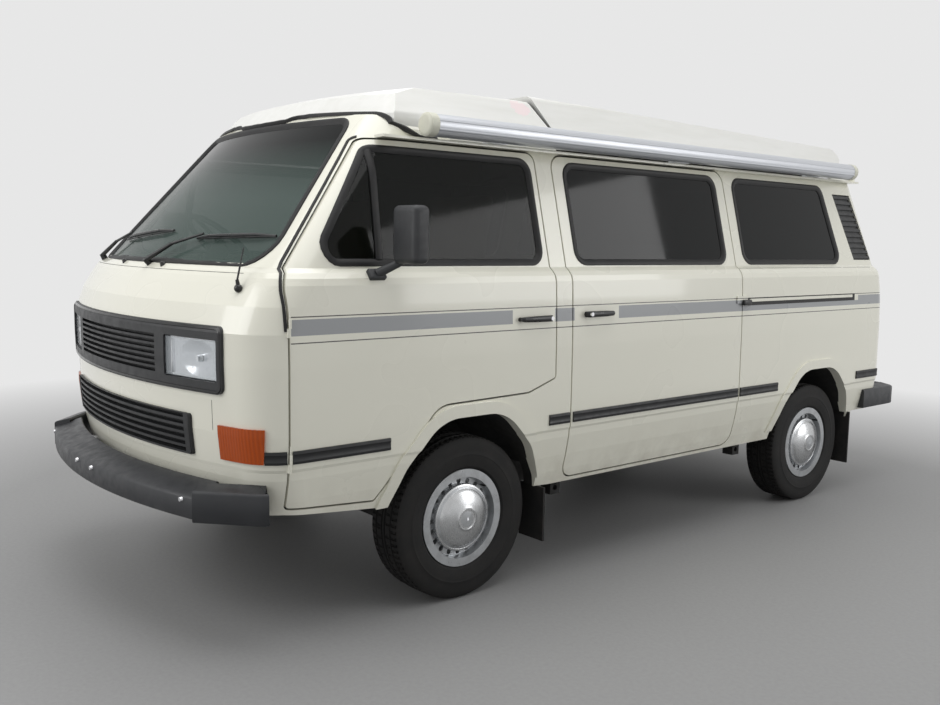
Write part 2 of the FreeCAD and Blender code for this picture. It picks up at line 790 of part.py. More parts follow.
def make_tyre(sign, axle):
    """Tyre profile turned about the wheel's axle."""
    r, bead, half = wheel_radius, bead_diameter / 2, tyre_width / 2
    tread, shoulder = half * 0.80, r - half * 0.20
    rim_half = rim_width / 2
    centre = Vector(sign * wheel_centre, axle, wheel_radius)
    lip = flange_diameter / 2 + pin_clearance * 6
    points = [(-rim_half, bead), (-rim_half, lip), (-half, r * 0.76), (-half * 0.96, shoulder),
              (-tread, r), (tread, r), (half * 0.96, shoulder), (half, r * 0.76), (rim_half, lip),
              (rim_half, bead)]
    places = [centre + Vector(a, 0, b) for a, b in points]
    left = Part.Arc(places[1], places[2], places[3]).toShape()
    right = Part.Arc(places[6], places[7], places[8]).toShape()
    edges = [Part.LineSegment(places[0], places[1]).toShape(), left,
             Part.LineSegment(places[3], places[4]).toShape(),
             Part.LineSegment(places[4], places[5]).toShape(),
             Part.LineSegment(places[5], places[6]).toShape(), right,
             Part.LineSegment(places[8], places[9]).toShape(),
             Part.LineSegment(places[9], places[0]).toShape()]
    return Part.Face(Part.Wire(edges)).revolve(centre, Vector(1, 0, 0), 360)


def rim_sheet():
    return rim_width * 0.045


def disc_face():
    """Outer face of the wheel's disc, from the wheel's middle plane."""
    return rim_width / 2 + rim_sheet() - disc_recess


def make_rim(sign, axle):
    """Pressed steel wheel with flanges, a recessed disc with vent holes, a bored hub and a domed cap."""
    bead, flange, rim_half = bead_diameter / 2, flange_diameter / 2, rim_width / 2
    sheet, gap, face = rim_sheet(), pin_clearance * 4, disc_face()
    cap_edge, cap_top = face + cap_side, face + cap_side + cap_rise
    dome_radius = (cap_radius ** 2 + cap_rise ** 2) / (2 * cap_rise)
    dome_middle = cap_top - dome_radius + math.sqrt(dome_radius ** 2 - cap_radius ** 2 / 4)
    points = [(-rim_half - sheet, bead - sheet * 2), (-rim_half - sheet, flange), (-rim_half - gap, flange),
              (-rim_half - gap, bead - gap), (rim_half + gap, bead - gap), (rim_half + gap, flange),
              (rim_half + sheet, flange), (rim_half + sheet, bead - sheet * 2),
              (face, bead - sheet * 3), (face, cap_radius), (cap_edge, cap_radius),
              (dome_middle, cap_radius / 2),
              (cap_top, 0), (-rim_half * 0.3, 0), (-rim_half * 0.3, cap_radius * 0.5),
              (face - sheet * 4, cap_radius * 0.6), (face - sheet * 4, bead - sheet * 3)]
    centre = Vector(sign * wheel_centre, axle, wheel_radius)
    places = [centre + Vector(sign * a, 0, b) for a, b in points]
    dome = Part.Arc(places[10], places[11], places[12]).toShape()
    wire = Part.Wire([Part.makePolygon(places[:11]), dome, Part.makePolygon(places[12:] + places[:1])])
    wheel = Part.Face(wire).revolve(centre, Vector(1, 0, 0), 360)
    hole = rod(vent_hole_radius, centre + Vector(0, 0, vent_circle_radius),
               centre + Vector(sign * rim_width, 0, vent_circle_radius))
    for i in range(vent_hole_count):
        turned = hole.copy()
        turned.rotate(centre, Vector(1, 0, 0), i * 360 / vent_hole_count)
        wheel = wheel.cut(turned)
    bore = rod(axle_pin_radius + pin_clearance, centre - Vector(sign * rim_width, 0, 0),
               centre + Vector(sign * (face - sheet), 0, 0))
    return wheel.cut(bore)


def pin_end(sign):
    """Where a stub axle's tip stands inside the hub."""
    return sign * (wheel_centre + disc_face() - rim_sheet() * 2)


def make_knuckle(sign):
    """Upright inside the wheel, with its two steering pins and the stub axle."""
    x = sign * (wheel_centre - kingpin_offset)
    low, high = wheel_radius - upright_half, wheel_radius + upright_half
    post = rod(eye_radius, Vector(x, front_axle, low + pin_clearance * 4),
               Vector(x, front_axle, high - pin_clearance * 4))
    pins = rod(kingpin_radius, Vector(x, front_axle, low - arm_plate),
               Vector(x, front_axle, high + arm_plate))
    stub = rod(axle_pin_radius, Vector(x, front_axle, wheel_radius),
               Vector(pin_end(sign), front_axle, wheel_radius))
    arm = box((x - arm_plate / 2, x + arm_plate / 2), (front_axle, front_axle + upright_half),
              (wheel_radius - arm_wall - arm_plate, wheel_radius - arm_wall))
    return post.fuse([pins, stub, arm])


def front_suspension():
    """Cross member with an upper and a lower arm a side, whose eyes hold the steering pins."""
    x_pin = wheel_centre - kingpin_offset
    low, high = wheel_radius - upright_half, wheel_radius + upright_half
    beam_x = house_inner() - house_wall * 2
    beam = box((-beam_x, beam_x), (front_axle - arm_wall * 2, front_axle + arm_wall * 2),
               (low - arm_plate, high + arm_plate))
    pieces = [box((x - tower_half, x + tower_half), (front_axle - tower_half, front_axle + tower_half),
                  (high, cab_floor_height - floor_wall)) for x in (-beam_x * 0.6, beam_x * 0.6)]
    bores = []
    for sign in (1, -1):
        for start in (low - arm_plate, high):
            pieces.append(box((sign * beam_x * 0.9, sign * x_pin),
                              (front_axle - eye_radius, front_axle + eye_radius),
                              (start, start + arm_plate)))
            pieces.append(rod(eye_radius, Vector(sign * x_pin, front_axle, start),
                              Vector(sign * x_pin, front_axle, start + arm_plate)))
        bores.append(rod(kingpin_radius + pin_clearance, Vector(sign * x_pin, front_axle, 0),
                         Vector(sign * x_pin, front_axle, gutter_height)))
    return beam.fuse(pieces).cut(bores)


def house_inner():
    return wheel_centre + tyre_width / 2 - house_depth


def rear_suspension():
    """Trailing arms with stub axles, joined by a cross tube at their pivots."""
    pivot_y = rear_axle - wheelbase * 0.2
    arm_x = house_inner() + arm_wall * 2
    tube = rod(arm_wall, Vector(-arm_x, pivot_y, wheel_radius + arm_wall),
               Vector(arm_x, pivot_y, wheel_radius + arm_wall))
    pieces = []
    for sign in (1, -1):
        arm = prism("x", [(pivot_y - arm_wall, wheel_radius),
                          (pivot_y - arm_wall, wheel_radius + arm_wall * 2),
                          (rear_axle + arm_wall * 2, wheel_radius + arm_wall * 1.5),
                          (rear_axle + arm_wall * 2, wheel_radius - arm_wall * 1.5)],
                    sign * arm_x - arm_wall, sign * arm_x + arm_wall, skin)
        hub_x = wheel_centre - rim_width * 0.42
        stub = rod(axle_pin_radius, Vector(sign * arm_x, rear_axle, wheel_radius),
                   Vector(pin_end(sign), rear_axle, wheel_radius))
        drum = rod(arm_wall * 1.4, Vector(sign * arm_x, rear_axle, wheel_radius),
                   Vector(sign * hub_x, rear_axle, wheel_radius))
        shaft = rod(arm_wall * 0.6, Vector(sign * (gearbox_half + shaft_gap), rear_axle,
                                           wheel_radius + arm_wall * 0.5),
                    Vector(sign * arm_x, rear_axle, wheel_radius))
        pieces += [arm, stub, drum, shaft]
    mounts = box((-arm_x, -arm_x + arm_wall * 2), (pivot_y - arm_wall, pivot_y + arm_wall),
                 (wheel_radius + arm_wall, floor_height - floor_wall))
    return tube.fuse(pieces + both(mounts))


def engine():
    """Engine block behind the rear axle, with the gearbox ahead of it."""
    block = box((-arm_wall * 10, arm_wall * 10), (rear_axle + arm_wall * 4, rear_axle + tail_reach * 0.78),
                (underside_height - wall * 2, deck_height - floor_wall - wall * 4))
    gearbox = box((-gearbox_half, gearbox_half), (rear_axle - arm_wall * 10, rear_axle + arm_wall * 4),
                  (underside_height - wall * 3, floor_height))
    y = rear_axle + tail_reach * 0.5
    posts = [box((x - engine_post_half, x + engine_post_half), (y - engine_post_half, y + engine_post_half),
                 (underside_height, deck_height - floor_wall)) for x in (-gearbox_half, gearbox_half)]
    return block.fuse([gearbox] + posts)


def fuel_tank():
    return box((-arm_wall * 12, arm_wall * 12),
               (front_axle + arch_half_width * 1.25, front_axle + arch_half_width * 2.5),
               (underside_height - wall * 3, floor_height - floor_wall))


def bar_edge(half, seam, end, turn, middle, bow, level):
    """One long edge of a bumper in plan: a side and slanting end cap, the bowed middle, and the same again."""
    left = [Vector(-half, end, level), Vector(-half, turn, level), Vector(-seam, middle + bow, level)]
    right = [Vector(-place.x, place.y, level) for place in left[::-1]]
    arc = Part.Arc(left[-1], Vector(0, middle, level), right[0]).toShape()
    return left, arc, right


def plan_bar(face, depth, end, low, high, bow, turn, way):
    """A bumper that follows the body's corners in plan. way is -1 at the front and 1 at the rear."""
    half, seam, thin = bumper_half_width, bumper_seam_half, bumper_wall
    bottom = low - bumper_cap_drop
    left, arc, right = bar_edge(half, seam, end, face - way * turn, face, -way * bow, bottom)
    in_left, in_arc, in_right = bar_edge(half - thin, seam - thin, end, face - way * (turn + thin),
                                         face - way * depth,
                                         -way * bow, bottom)
    wire = Part.Wire([Part.makePolygon(left), arc, Part.makePolygon(right + in_right[::-1]), in_arc,
                      Part.makePolygon(in_left[::-1] + left[:1])])
    bar = Part.Face(wire).extrude(Vector(0, 0, high - bottom))
    under_middle = box((-seam, seam), (nose_end, tail_end), (bottom - thin, low))
    return bar.cut([under_middle, form(-arch_lip_rise)])


def stays(start, end, low, high):
    """Two brackets that carry a bumper on the body."""
    return [box((x - wall, x + wall), (start, end),
                (low, high)).cut(form(0)) for x in (-low_grille_half, low_grille_half)]


def front_bumper():
    face = front_axle - front_reach
    bar = plan_bar(face, bumper_depth * 0.8, front_axle - front_bumper_end, bumper_low_height,
                   bumper_top_height,
                   front_bow, front_turn, -1)
    bar = bar.cut(plate_holes(face, -1, bumper_low_height, bumper_top_height))
    return bar.fuse(stays(face + bumper_depth * 0.7, front_axle - door_front,
                          bumper_low_height + bumper_wall,
                          bumper_top_height - bumper_wall))


def rear_bumper():
    face = rear_axle + rear_reach
    low, high = bumper_low_height + skin, bumper_top_height + skin
    bar = plan_bar(face, bumper_depth * 0.5, front_axle + rear_bumper_end, low, high, rear_bow, rear_turn,
                   1)
    bar = bar.cut(plate_holes(face, 1, low, high))
    return bar.fuse(stays(rear_axle + arch_half_width, face - bumper_depth * 0.4,
                          bumper_low_height + bumper_wall,
                          bumper_top_height - bumper_wall))


def face_tool(points, radii=0.0):
    return prism("y", points, nose_end, front_axle - door_front, radii)


def rectangle(left, right, low, high):
    return [(left, low), (left, high), (right, high), (right, low)]


def slots(half, low, high, count):
    """Cutters for the gaps between a grille's bars."""
    pitch = (high - low) / count
    gap_share, start_share = 0.6, 0.3
    tools = []
    for i in range(count):
        start = low + pitch * (i + start_share)
        tools.append(face_tool(rectangle(-half, half, start, start + pitch * gap_share)))
    return layer(-grille_rise * 2, grille_depth * 0.7, Part.makeCompound(tools))


def upper_grille_tool(grow=0.0):
    half = grille_half_width + grow
    return face_tool(rectangle(-half, half, grille_low_height - grow, grille_top_height + grow),
                     grille_corner + grow)


def low_grille_tool(grow=0.0):
    half = low_grille_half + grow
    return face_tool(rectangle(-half, half, low_grille_low_height - grow, low_grille_top_height + grow),
                     skin + grow)


def lamp_tool(grow=0.0):
    return face_tool(rectangle(lamp_inner - grow, lamp_outer + grow, lamp_low_height - grow,
                               lamp_top_height + grow),
                     lamp_corner)


def grille_recesses():
    """Cutters for the hollows in the nose panel that take the grilles."""
    return [layer(-grille_rise * 2, grille_depth, tool) for tool in (upper_grille_tool(),
                                                                     low_grille_tool())]


def grilles():
    """Upper frame around the lamps with bars between them, and the lower radiator grille."""
    whole = layer(-grille_rise, grille_depth, upper_grille_tool())
    whole = whole.cut(both(lamp_tool()) + [slots(bars_half, lamp_low_height, lamp_top_height, bar_count)])
    low_plate = layer(-grille_rise, grille_depth, low_grille_tool())
    low_plate = low_plate.cut(slots(low_grille_half * 0.94, low_grille_low_height, low_grille_top_height,
                                    low_bar_count))
    return Part.makeCompound([whole, low_plate])


def headlamps():
    lamp = layer(-grille_rise * 0.6, grille_depth, lamp_tool())
    return Part.makeCompound(both(lamp))


def indicators():
    """Corner lamps that wrap from the nose to the side."""
    tool = box((indicator_inner, far), (nose_end, front_axle - door_front - wall * 2),
               (indicator_low_height, indicator_top_height))
    lamp = layer(-skin * 0.7, 0, tool)
    return Part.makeCompound(both(lamp))


def tail_lamps():
    outer_x = body_half_width * 0.93
    tool = box((outer_x - tail_lamp_width, outer_x), (rear_axle + tail_reach * 0.7, tail_end),
               (tail_lamp_low_height, tail_lamp_top_height))
    lamp = layer(-skin, 0, tool)
    return Part.makeCompound(both(lamp))


def side_x(height):
    """The body's half width at a height above the belt."""
    low, high = section_shares[-3], section_shares[-2]
    share = (height / gutter_height - low[0]) / (high[0] - low[0])
    return (low[1] + (high[1] - low[1]) * share) * body_half_width


def air_intakes():
    """Black louvred panels in the rear pillars."""
    def band(low, high, front, back):
        points = [(side_x(low) - back, low), (side_x(low) - front, low), (side_x(high) - front, high),
                  (side_x(high) - back, high)]
        return prism("y", points, rear_axle, tail_end)

    pitch = (intake_top_height - intake_low_height) / slat_count
    pieces = []
    for i in range(slat_count):
        low = intake_low_height + pitch * (i + 0.25)
        pieces.append(band(low, low + pitch * 0.5, skin / 4, skin))
    louvre = band(intake_low_height, intake_top_height, skin, wall).fuse(pieces)
    return Part.makeCompound(both(louvre.common(left_prism(intake_points(), 0))))


def bowed_plan(half, tip, rear, height):
    """A plan with a straight rear and a bowed front."""
    shoulder = tip + cap_bow
    places = [Vector(-half, shoulder, height), Vector(0, tip, height), Vector(half, shoulder, height),
              Vector(half, rear, height), Vector(-half, rear, height)]
    return Part.Wire([Part.Arc(*places[:3]).toShape(), Part.makePolygon(places[2:] + places[:1])])


def lid_low_height():
    return gutter_height + lid_gap - lid_pin_rise


def roof_cap():
    """Closed cap over the cab with a luggage tray between its side wings."""
    f = front_axle
    low = lid_low_height()
    half, rear = cap_half_low + wall, f + cap_rear_low + wall
    foot = gutter_height + rear_crown
    brow = [(cap_front + skin, low - wall), (cap_front, foot), (cap_brow_front, cap_brow_height),
            (cap_top_front, cap_height - skin), (cap_top_front - wall * 3, cap_height + wall)]
    cap = Part.makeLoft([bowed_plan(half, f - tip, rear, height) for tip, height in brow], True, True)
    side = [(nose_end, low), (nose_end, cap_height * 0.993), (f - awning_front, cap_height * 0.993),
            (f + cap_rear_top, cap_height), (f + cap_rear_low, low)]
    front = [(-cap_half_low, low), (-cap_half_low, foot), (-cap_half_top, cap_height),
             (cap_half_top, cap_height), (cap_half_low, foot), (cap_half_low, low)]
    cap = cap.common(prism("x", side, -far, far))
    cap = cap.common(prism("y", front, nose_end, tail_end, [0, wall, wall, wall, wall, 0]))
    tray = prism("z", [(-tray_half_width, f - tray_front), (tray_half_width, f - tray_front),
                       (tray_half_width, f + cap_rear_low * 1.1),
                       (-tray_half_width, f + cap_rear_low * 1.1)],
                 cap_height - tray_depth, sky, [wall * 2, wall * 2, 0, 0])
    plan = [(-cap_half_low - wall, f - cap_front - skin), (cap_half_low + wall, f - cap_front - skin),
            (cap_half_low + wall, rear), (-cap_half_low - wall, rear)]
    cap = cap.common(prism("z", plan, low - overrun, sky * 2, [cap_corner, cap_corner, 0, 0]))
    return cap.cut(tray).cut(form(0))


def lid_form(inset):
    f = front_axle
    low = lid_low_height()
    front_top, front_low = f + cap_rear_top + lid_gap, f + cap_rear_low + lid_gap
    side = [(front_low + inset, low - (inset and overrun)), (front_top + inset, lid_height - inset),
            (f + lid_rear_top - inset, lid_height * lid_rise_share - inset),
            (f + lid_rear_low - inset, low - (inset and overrun))]
    front = [(-cap_half_low + inset, low - overrun), (-cap_half_low + inset, gutter_height + rear_crown),
             (-cap_half_top + inset, lid_height - inset),
             (cap_half_top - inset, lid_height - inset), (cap_half_low - inset, gutter_height + rear_crown),
             (cap_half_low - inset, low - overrun)]
    form = prism("x", side, -far, far, [0, 0, wall, 0])
    form = form.common(prism("y", front, nose_end, tail_end, [0, wall, wall, wall, wall, 0]))
    plan = [(-cap_half_low + inset, front_top - wall), (cap_half_low - inset, front_top - wall),
            (cap_half_low - inset, f + lid_rear_low - inset),
            (-cap_half_low + inset, f + lid_rear_low - inset)]
    return form.common(prism("z", plan, low - overrun * 2, sky * 2, [0, 0, wall * 4, wall * 4]))


def pop_top_lid():
    """Moulded lid, open underneath, resting just clear of the steel roof."""
    lid = lid_form(0).cut(lid_form(lid_wall))
    return lid.cut(form(-lid_gap))


def canvas():
    """Folded canvas wall around the hatch, between the roof and the lid."""
    f = front_axle
    points = [(-hatch_half_width - canvas_wall, f + hatch_front - canvas_wall),
              (hatch_half_width + canvas_wall, f + hatch_front - canvas_wall),
              (hatch_half_width + canvas_wall, f + hatch_rear + canvas_wall),
              (-hatch_half_width - canvas_wall, f + hatch_rear + canvas_wall)]
    outer = prism("z", points, gutter_height, gutter_height + rear_crown + canvas_height, wall * 2)
    inner = prism("z", points, gutter_height - wall, sky, wall * 2, -canvas_wall)
    return outer.cut(inner).cut(form(-pin_clearance * 6))


def gutters():
    edge = section_shares[-2][1] * body_half_width
    f = front_axle
    bar = box((edge - skin, edge + gutter_reach), (f - pillar_top + wall, f + lid_rear_low),
              (gutter_height - gutter_wall, gutter_height))
    return both(bar)


def awning():
    """Rolled awning case along the left gutter, on brackets."""
    y0, y1 = front_axle - awning_front, front_axle + awning_rear
    case = rod(awning_diameter / 2, Vector(awning_centre, y0, awning_centre_height),
               Vector(awning_centre, y1, awning_centre_height))
    brackets = []
    for share in (0.12, 0.5, 0.88):
        y = y0 + (y1 - y0) * share
        brackets.append(box((awning_centre - awning_diameter * 0.7, awning_centre), (y - wall, y + wall),
                            (gutter_height, gutter_height + skin)))
    return case.fuse(brackets)


def seat(centre_x, back_y, floor_level, width):
    """Cushion, backrest and head restraint on a box."""
    w = width / 2
    x = (centre_x - w, centre_x + w)
    base = box((centre_x - w * 0.8, centre_x + w * 0.8), (back_y - width * 0.95, back_y - width * 0.15),
               (floor_level, floor_level + width * 0.35))
    cushion = prism("x", [(back_y - width * 1.05, floor_level + width * 0.35),
                          (back_y - width * 1.05, floor_level + width * 0.62),
                          (back_y - width * 0.1, floor_level + width * 0.56),
                          (back_y - width * 0.1, floor_level + width * 0.35)], x[0], x[1], wall)
    back = prism("x", [(back_y - width * 0.24, floor_level + width * 0.5),
                       (back_y - width * 0.02, floor_level + width * 1.75),
                       (back_y + width * 0.18, floor_level + width * 1.75),
                       (back_y + width * 0.02, floor_level + width * 0.5)], x[0], x[1], wall)
    head = prism("x", [(back_y + width * 0.0, floor_level + width * 1.7),
                       (back_y + width * 0.02, floor_level + width * 2.1),
                       (back_y + width * 0.18, floor_level + width * 2.1),
                       (back_y + width * 0.16, floor_level + width * 1.7)],
                 centre_x - w * 0.55, centre_x + w * 0.55, wall)
    return base.fuse([cushion, back, head])


def cab_seats():
    one = seat(body_half_width * 0.44, front_axle + cab_bulkhead * 0.62, cab_floor_height, seat_width)
    return Part.makeCompound(both(one))


def rear_bench():
    """Bench seat across the rear of the living space."""
    depth = bench_depth
    y1 = front_axle + deck_start
    base = box((-body_half_width * 0.32, body_half_width * 0.86), (y1 - depth, y1 - skin),
               (floor_height, floor_height + depth * 0.75))
    cushion = box((-body_half_width * 0.32, body_half_width * 0.86), (y1 - depth * 1.05, y1 - skin),
                  (floor_height + depth * 0.75, deck_height + wall))
    back = box((-body_half_width * 0.32, body_half_width * 0.80), (y1 - depth * 0.3, y1 - skin),
               (deck_height + wall, deck_height + depth * 0.9))
    return base.fuse([cushion, back])


def galley():
    """Kitchen unit along the right side, with a cupboard at its rear."""
    x = (-body_half_width * 0.92 + wall, -body_half_width * 0.42)
    y0, y1 = front_axle + slide_front, front_axle + deck_start - 5 * wall
    unit = box(x, (y0, y1), (floor_height, window_low_height - wall * 2))
    return unit.common(form(wall + skin))


def dashboard():
    f = front_axle
    screen_y = f - nose_reach * 0.92
    dash = prism("x", [(screen_y - wall, cab_floor_height + wall * 6),
                       (screen_y - wall, window_low_height - wall * 1.4),
                       (f - door_front * 0.86, window_low_height + skin * 0),
                       (f - door_front * 0.72, window_low_height - wall * 3),
                       (f - door_front * 0.8, cab_floor_height + wall * 7)], -body_half_width * 0.84,
                       body_half_width * 0.84, wall)
    column = rod(wall * 0.8, column_point(0.0), column_point(0.80))
    return dash.fuse(column).common(form(wall))


def column_point(share):
    """A point on the steering column's axis, from the dashboard to the wheel."""
    x = -body_half_width * 0.44
    start = Vector(x, front_axle - door_front * 1.0, cab_floor_height + wall * 4)
    end = Vector(x, front_axle - door_front * 0.50, window_low_height + wall)
    return start + (end - start) * share


def steering_wheel():
    """Rim, hub and three flat spokes, built level and then laid on the column's axis."""
    end, start = column_point(1.0), column_point(0.80)
    grip, sides = steering_grip_radius, 12
    turn = 2 * math.pi / sides
    profile = [Vector(steering_rim_radius + grip * math.cos((i + 0.5) * turn), 0,
                      grip * math.sin((i + 0.5) * turn))
               for i in range(sides)]
    rim = Part.Face(Part.makePolygon(profile + profile[:1])).revolve(Vector(0, 0, 0), Vector(0, 0, 1), 360)
    drop = start.distanceToPoint(end) - pin_clearance * 6
    wheel = rim.fuse(rod(steering_hub_radius, Vector(0, 0, -drop), Vector(0, 0, skin)))
    for angle in (0, 180, 270):
        spoke = box((steering_hub_radius / 2, steering_rim_radius), (-spoke_width / 2, spoke_width / 2),
                    (-spoke_wall / 2, spoke_wall / 2))
        spoke.rotate(Vector(0, 0, 0), Vector(0, 0, 1), angle)
        wheel = wheel.fuse(spoke)
    wheel.Placement = FreeCAD.Placement(end, FreeCAD.Rotation(Vector(0, 0, 1), end - start))
    return wheel


def mirror(sign):
    """Door mirror: tall head, arm and foot on the door."""
    y = front_axle - mirror_foot
    middle = (mirror_inner + mirror_outer) / 2
    head = box((sign * mirror_inner, sign * mirror_outer),
               (front_axle - mirror_front, front_axle - mirror_rear),
               (mirror_low_height, mirror_top_height))
    head = head.makeFillet(mirror_corner, head.Edges)
    foot = box((0, sign * body_half_width), (y - mirror_foot_half, y + mirror_foot_half),
               (mirror_foot_low_height, mirror_foot_top_height))
    arm = rod(mirror_arm_radius, Vector(sign * (body_half_width - wall), y,
                                        mirror_foot_top_height - mirror_arm_radius),
              Vector(sign * middle, front_axle - (mirror_front + mirror_rear) / 2,
                     mirror_low_height + wall))
    return head.fuse([foot.cut(form(0)), arm.cut(form(0))])


def wipers():
    """Two arms with their blades, parked low on the screen and both swept to the left."""
    sets = []
    for x in (wiper_left, wiper_right):
        z = wiper_height
        arm = [(x - wiper_wall, z), (x + wiper_arm_reach, z + wiper_arm_rise + wiper_wall),
               (x + wiper_arm_reach, z + wiper_arm_rise), (x + wiper_wall, z - wiper_wall)]
        blade = rectangle(x + wiper_arm_reach - wiper_wall * 2, x + wiper_arm_reach + wiper_blade,
                          z + wiper_arm_rise, z + wiper_arm_rise + wiper_wall)
        tools = [prism("y", points, nose_end, front_axle) for points in (arm, blade)]
        sets.append(layer(-skin, 0, tools[0].fuse(tools[1])))
    return Part.makeCompound(sets)


def mud_flaps():
    """Flaps that hang from the sills and the tail behind the wheels."""
    flaps = []
    for axle, start in ((front_axle, arch_half_width * 1.04), (rear_axle, arch_half_width * 1.0)):
        flap = box((wheel_centre - tyre_width * 0.1, body_half_width * 0.985),
                   (axle + start, axle + start + flap_wall),
                   (flap_low_height, floor_height))
        flaps += both(flap.common(under_cut()))
    return Part.makeCompound(flaps)


def build():
    parts = split_body(cut_openings(body_shell()))
    floors(parts)
    gate_pins, gate_eyes = gate_hinges()
    lid_pins, lid_straps = lid_hinges()
    parts["roof_frame"] = parts["roof_frame"].fuse(gutters() + gate_pins + lid_pins)
    parts["jack_sockets"] = Part.makeCompound(jack_sockets())
    parts["tow_eyes"] = Part.makeCompound([tow_eye(front_axle - tow_front, nose_bottom_height),
                                           tow_eye(rear_axle + tow_rear, nose_bottom_height - skin)])
    for axle, top in ((front_axle, arch_height), (rear_axle, rear_arch_height)):
        lip = arch_lip(axle, top)
        parts["side_left"] = parts["side_left"].fuse(lip)
        parts["side_right"] = parts["side_right"].fuse(mirrored(lip))
    parts["wheel_houses"] = parts["wheel_houses"].cut([parts["side_left"], parts["side_right"]])

    hinge_heights = (indicator_low_height, grille_top_height)
    door = panel(cab_door_points(), cab_door_radii(), skin, cab_window_points(), window_corner)
    glass = pane(cab_window_points(), window_corner)
    for side, sign in (("left", 1), ("right", -1)):
        pins, eyes = door_hinge(hinge_heights, sign)
        parts["nose_panel"] = parts["nose_panel"].fuse(pins)
        one = door if sign > 0 else mirrored(door)
        parts["cab_door_" + side] = one.fuse(eyes)
        parts["cab_glass_" + side] = glass if sign > 0 else mirrored(glass)
        parts["mirror_" + side] = mirror(sign)

    parts["sliding_door"] = panel(slide_points(), wall * 1.5, skin, slide_window_points(),
                                  window_corner).fuse(slide_hook())
    slide_glass = pane(slide_window_points(), window_corner)
    rear_glass = pane(rear_window_points(), window_corner)
    parts["side_windows"] = Part.makeCompound(both(slide_glass) + both(rear_glass))
    glass_back = glass_inset + glass_wall
    parts["windscreen"] = layer(glass_inset, glass_back,
                                prism("y", screen_points(), nose_end, front_axle, screen_corner))
    rear_start = rear_axle + tail_reach * 0.5
    gate = layer(0, skin, prism("y", tailgate_points(), rear_start, tail_end, wall * 1.5))
    gate_box = layer(skin, wall, prism("y", tailgate_points(), rear_start, tail_end, wall * 1.5, -skin))
    gate_hole = prism("y", rear_glass_points(), rear_start, tail_end, window_corner)
    parts["tailgate"] = gate.fuse(gate_box).cut(gate_hole).fuse(gate_eyes)
    parts["tailgate_glass"] = layer(glass_inset, glass_back, gate_hole)

    parts["roof_cap"] = roof_cap()
    parts["pop_top_lid"] = pop_top_lid().fuse(lid_straps)
    parts["pop_top_canvas"] = canvas()
    parts["awning"] = awning()
    parts["front_bumper"] = front_bumper()
    parts["rear_bumper"] = rear_bumper()
    parts["grilles"] = grilles()
    parts["headlamps"] = headlamps()
    parts["indicators"] = indicators()
    parts["tail_lamps"] = tail_lamps()
    parts["air_intakes"] = air_intakes()
    parts["wipers"] = wipers()
    parts["mud_flaps"] = mud_flaps().cut([parts["side_left"], parts["side_right"]])
    parts["cab_seats"] = cab_seats()
    parts["dashboard"] = dashboard()
    parts["steering_wheel"] = steering_wheel()
    parts["rear_bench"] = rear_bench()
    parts["galley"] = galley()
    parts["front_suspension"] = front_suspension()
    parts["rear_suspension"] = rear_suspension()
    parts["engine"] = engine()
    parts["fuel_tank"] = fuel_tank()
    for end, axle in (("front", front_axle), ("rear", rear_axle)):
        for side, sign in (("left", 1), ("right", -1)):
            parts["tyre_%s_%s" % (end, side)] = make_tyre(sign, axle)
            parts["wheel_%s_%s" % (end, side)] = make_rim(sign, axle)
    parts["knuckle_left"] = make_knuckle(1)
    parts["knuckle_right"] = make_knuckle(-1)
    return parts


os.makedirs("parts", exist_ok=True)
for name, shape in build().items():
    solids = shape.Solids
    result = solids[0] if len(solids) == 1 else Part.makeCompound(solids)
    result.exportStep("parts/%s.step" % name)
    print(name, len(solids), "valid" if result.isValid() else "INVALID", round(result.Volume / 1e6, 1))
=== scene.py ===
import math

import bmesh
import bpy
from mathutils import Matrix, Vector
from mathutils.bvhtree import BVHTree


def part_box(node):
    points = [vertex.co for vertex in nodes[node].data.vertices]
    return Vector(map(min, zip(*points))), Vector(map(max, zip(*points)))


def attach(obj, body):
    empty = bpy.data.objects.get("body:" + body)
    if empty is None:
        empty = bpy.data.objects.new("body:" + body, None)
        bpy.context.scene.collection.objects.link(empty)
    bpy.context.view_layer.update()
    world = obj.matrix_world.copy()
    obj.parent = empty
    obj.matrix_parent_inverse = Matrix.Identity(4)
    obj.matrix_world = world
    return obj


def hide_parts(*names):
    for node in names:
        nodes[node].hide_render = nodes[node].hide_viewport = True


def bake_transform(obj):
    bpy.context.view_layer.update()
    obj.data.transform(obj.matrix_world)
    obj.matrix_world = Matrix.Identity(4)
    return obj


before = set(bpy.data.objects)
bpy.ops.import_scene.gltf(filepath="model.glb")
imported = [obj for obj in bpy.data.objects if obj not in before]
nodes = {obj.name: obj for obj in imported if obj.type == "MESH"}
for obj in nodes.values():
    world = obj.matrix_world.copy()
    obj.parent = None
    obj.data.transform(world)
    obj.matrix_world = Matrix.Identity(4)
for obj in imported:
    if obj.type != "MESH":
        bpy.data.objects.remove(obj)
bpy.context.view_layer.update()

sides = (("left", 1), ("right", -1))
corners = ["front_left", "front_right", "rear_left", "rear_right"]
print("frame loaded:", len(nodes), "nodes")


# Places that other sizes follow, in metres
def middle(name):
    low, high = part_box(name)
    return (Vector(low) + Vector(high)) / 2


frontY = middle("wheel_front_left").y  # front axle
rearY = middle("wheel_rear_left").y
wheelX = middle("tyre_front_left").x
wheelZ = middle("wheel_front_left").z


# Materials
def srgb(r, g, b):
    return tuple(c / 12.92 if c < 0.04 else ((c + 0.055) / 1.055) ** 2.4 for c in (r, g, b)) + (1.0,)


def scaled(colour, share):
    return tuple(c * share for c in colour[:3]) + (1.0,)


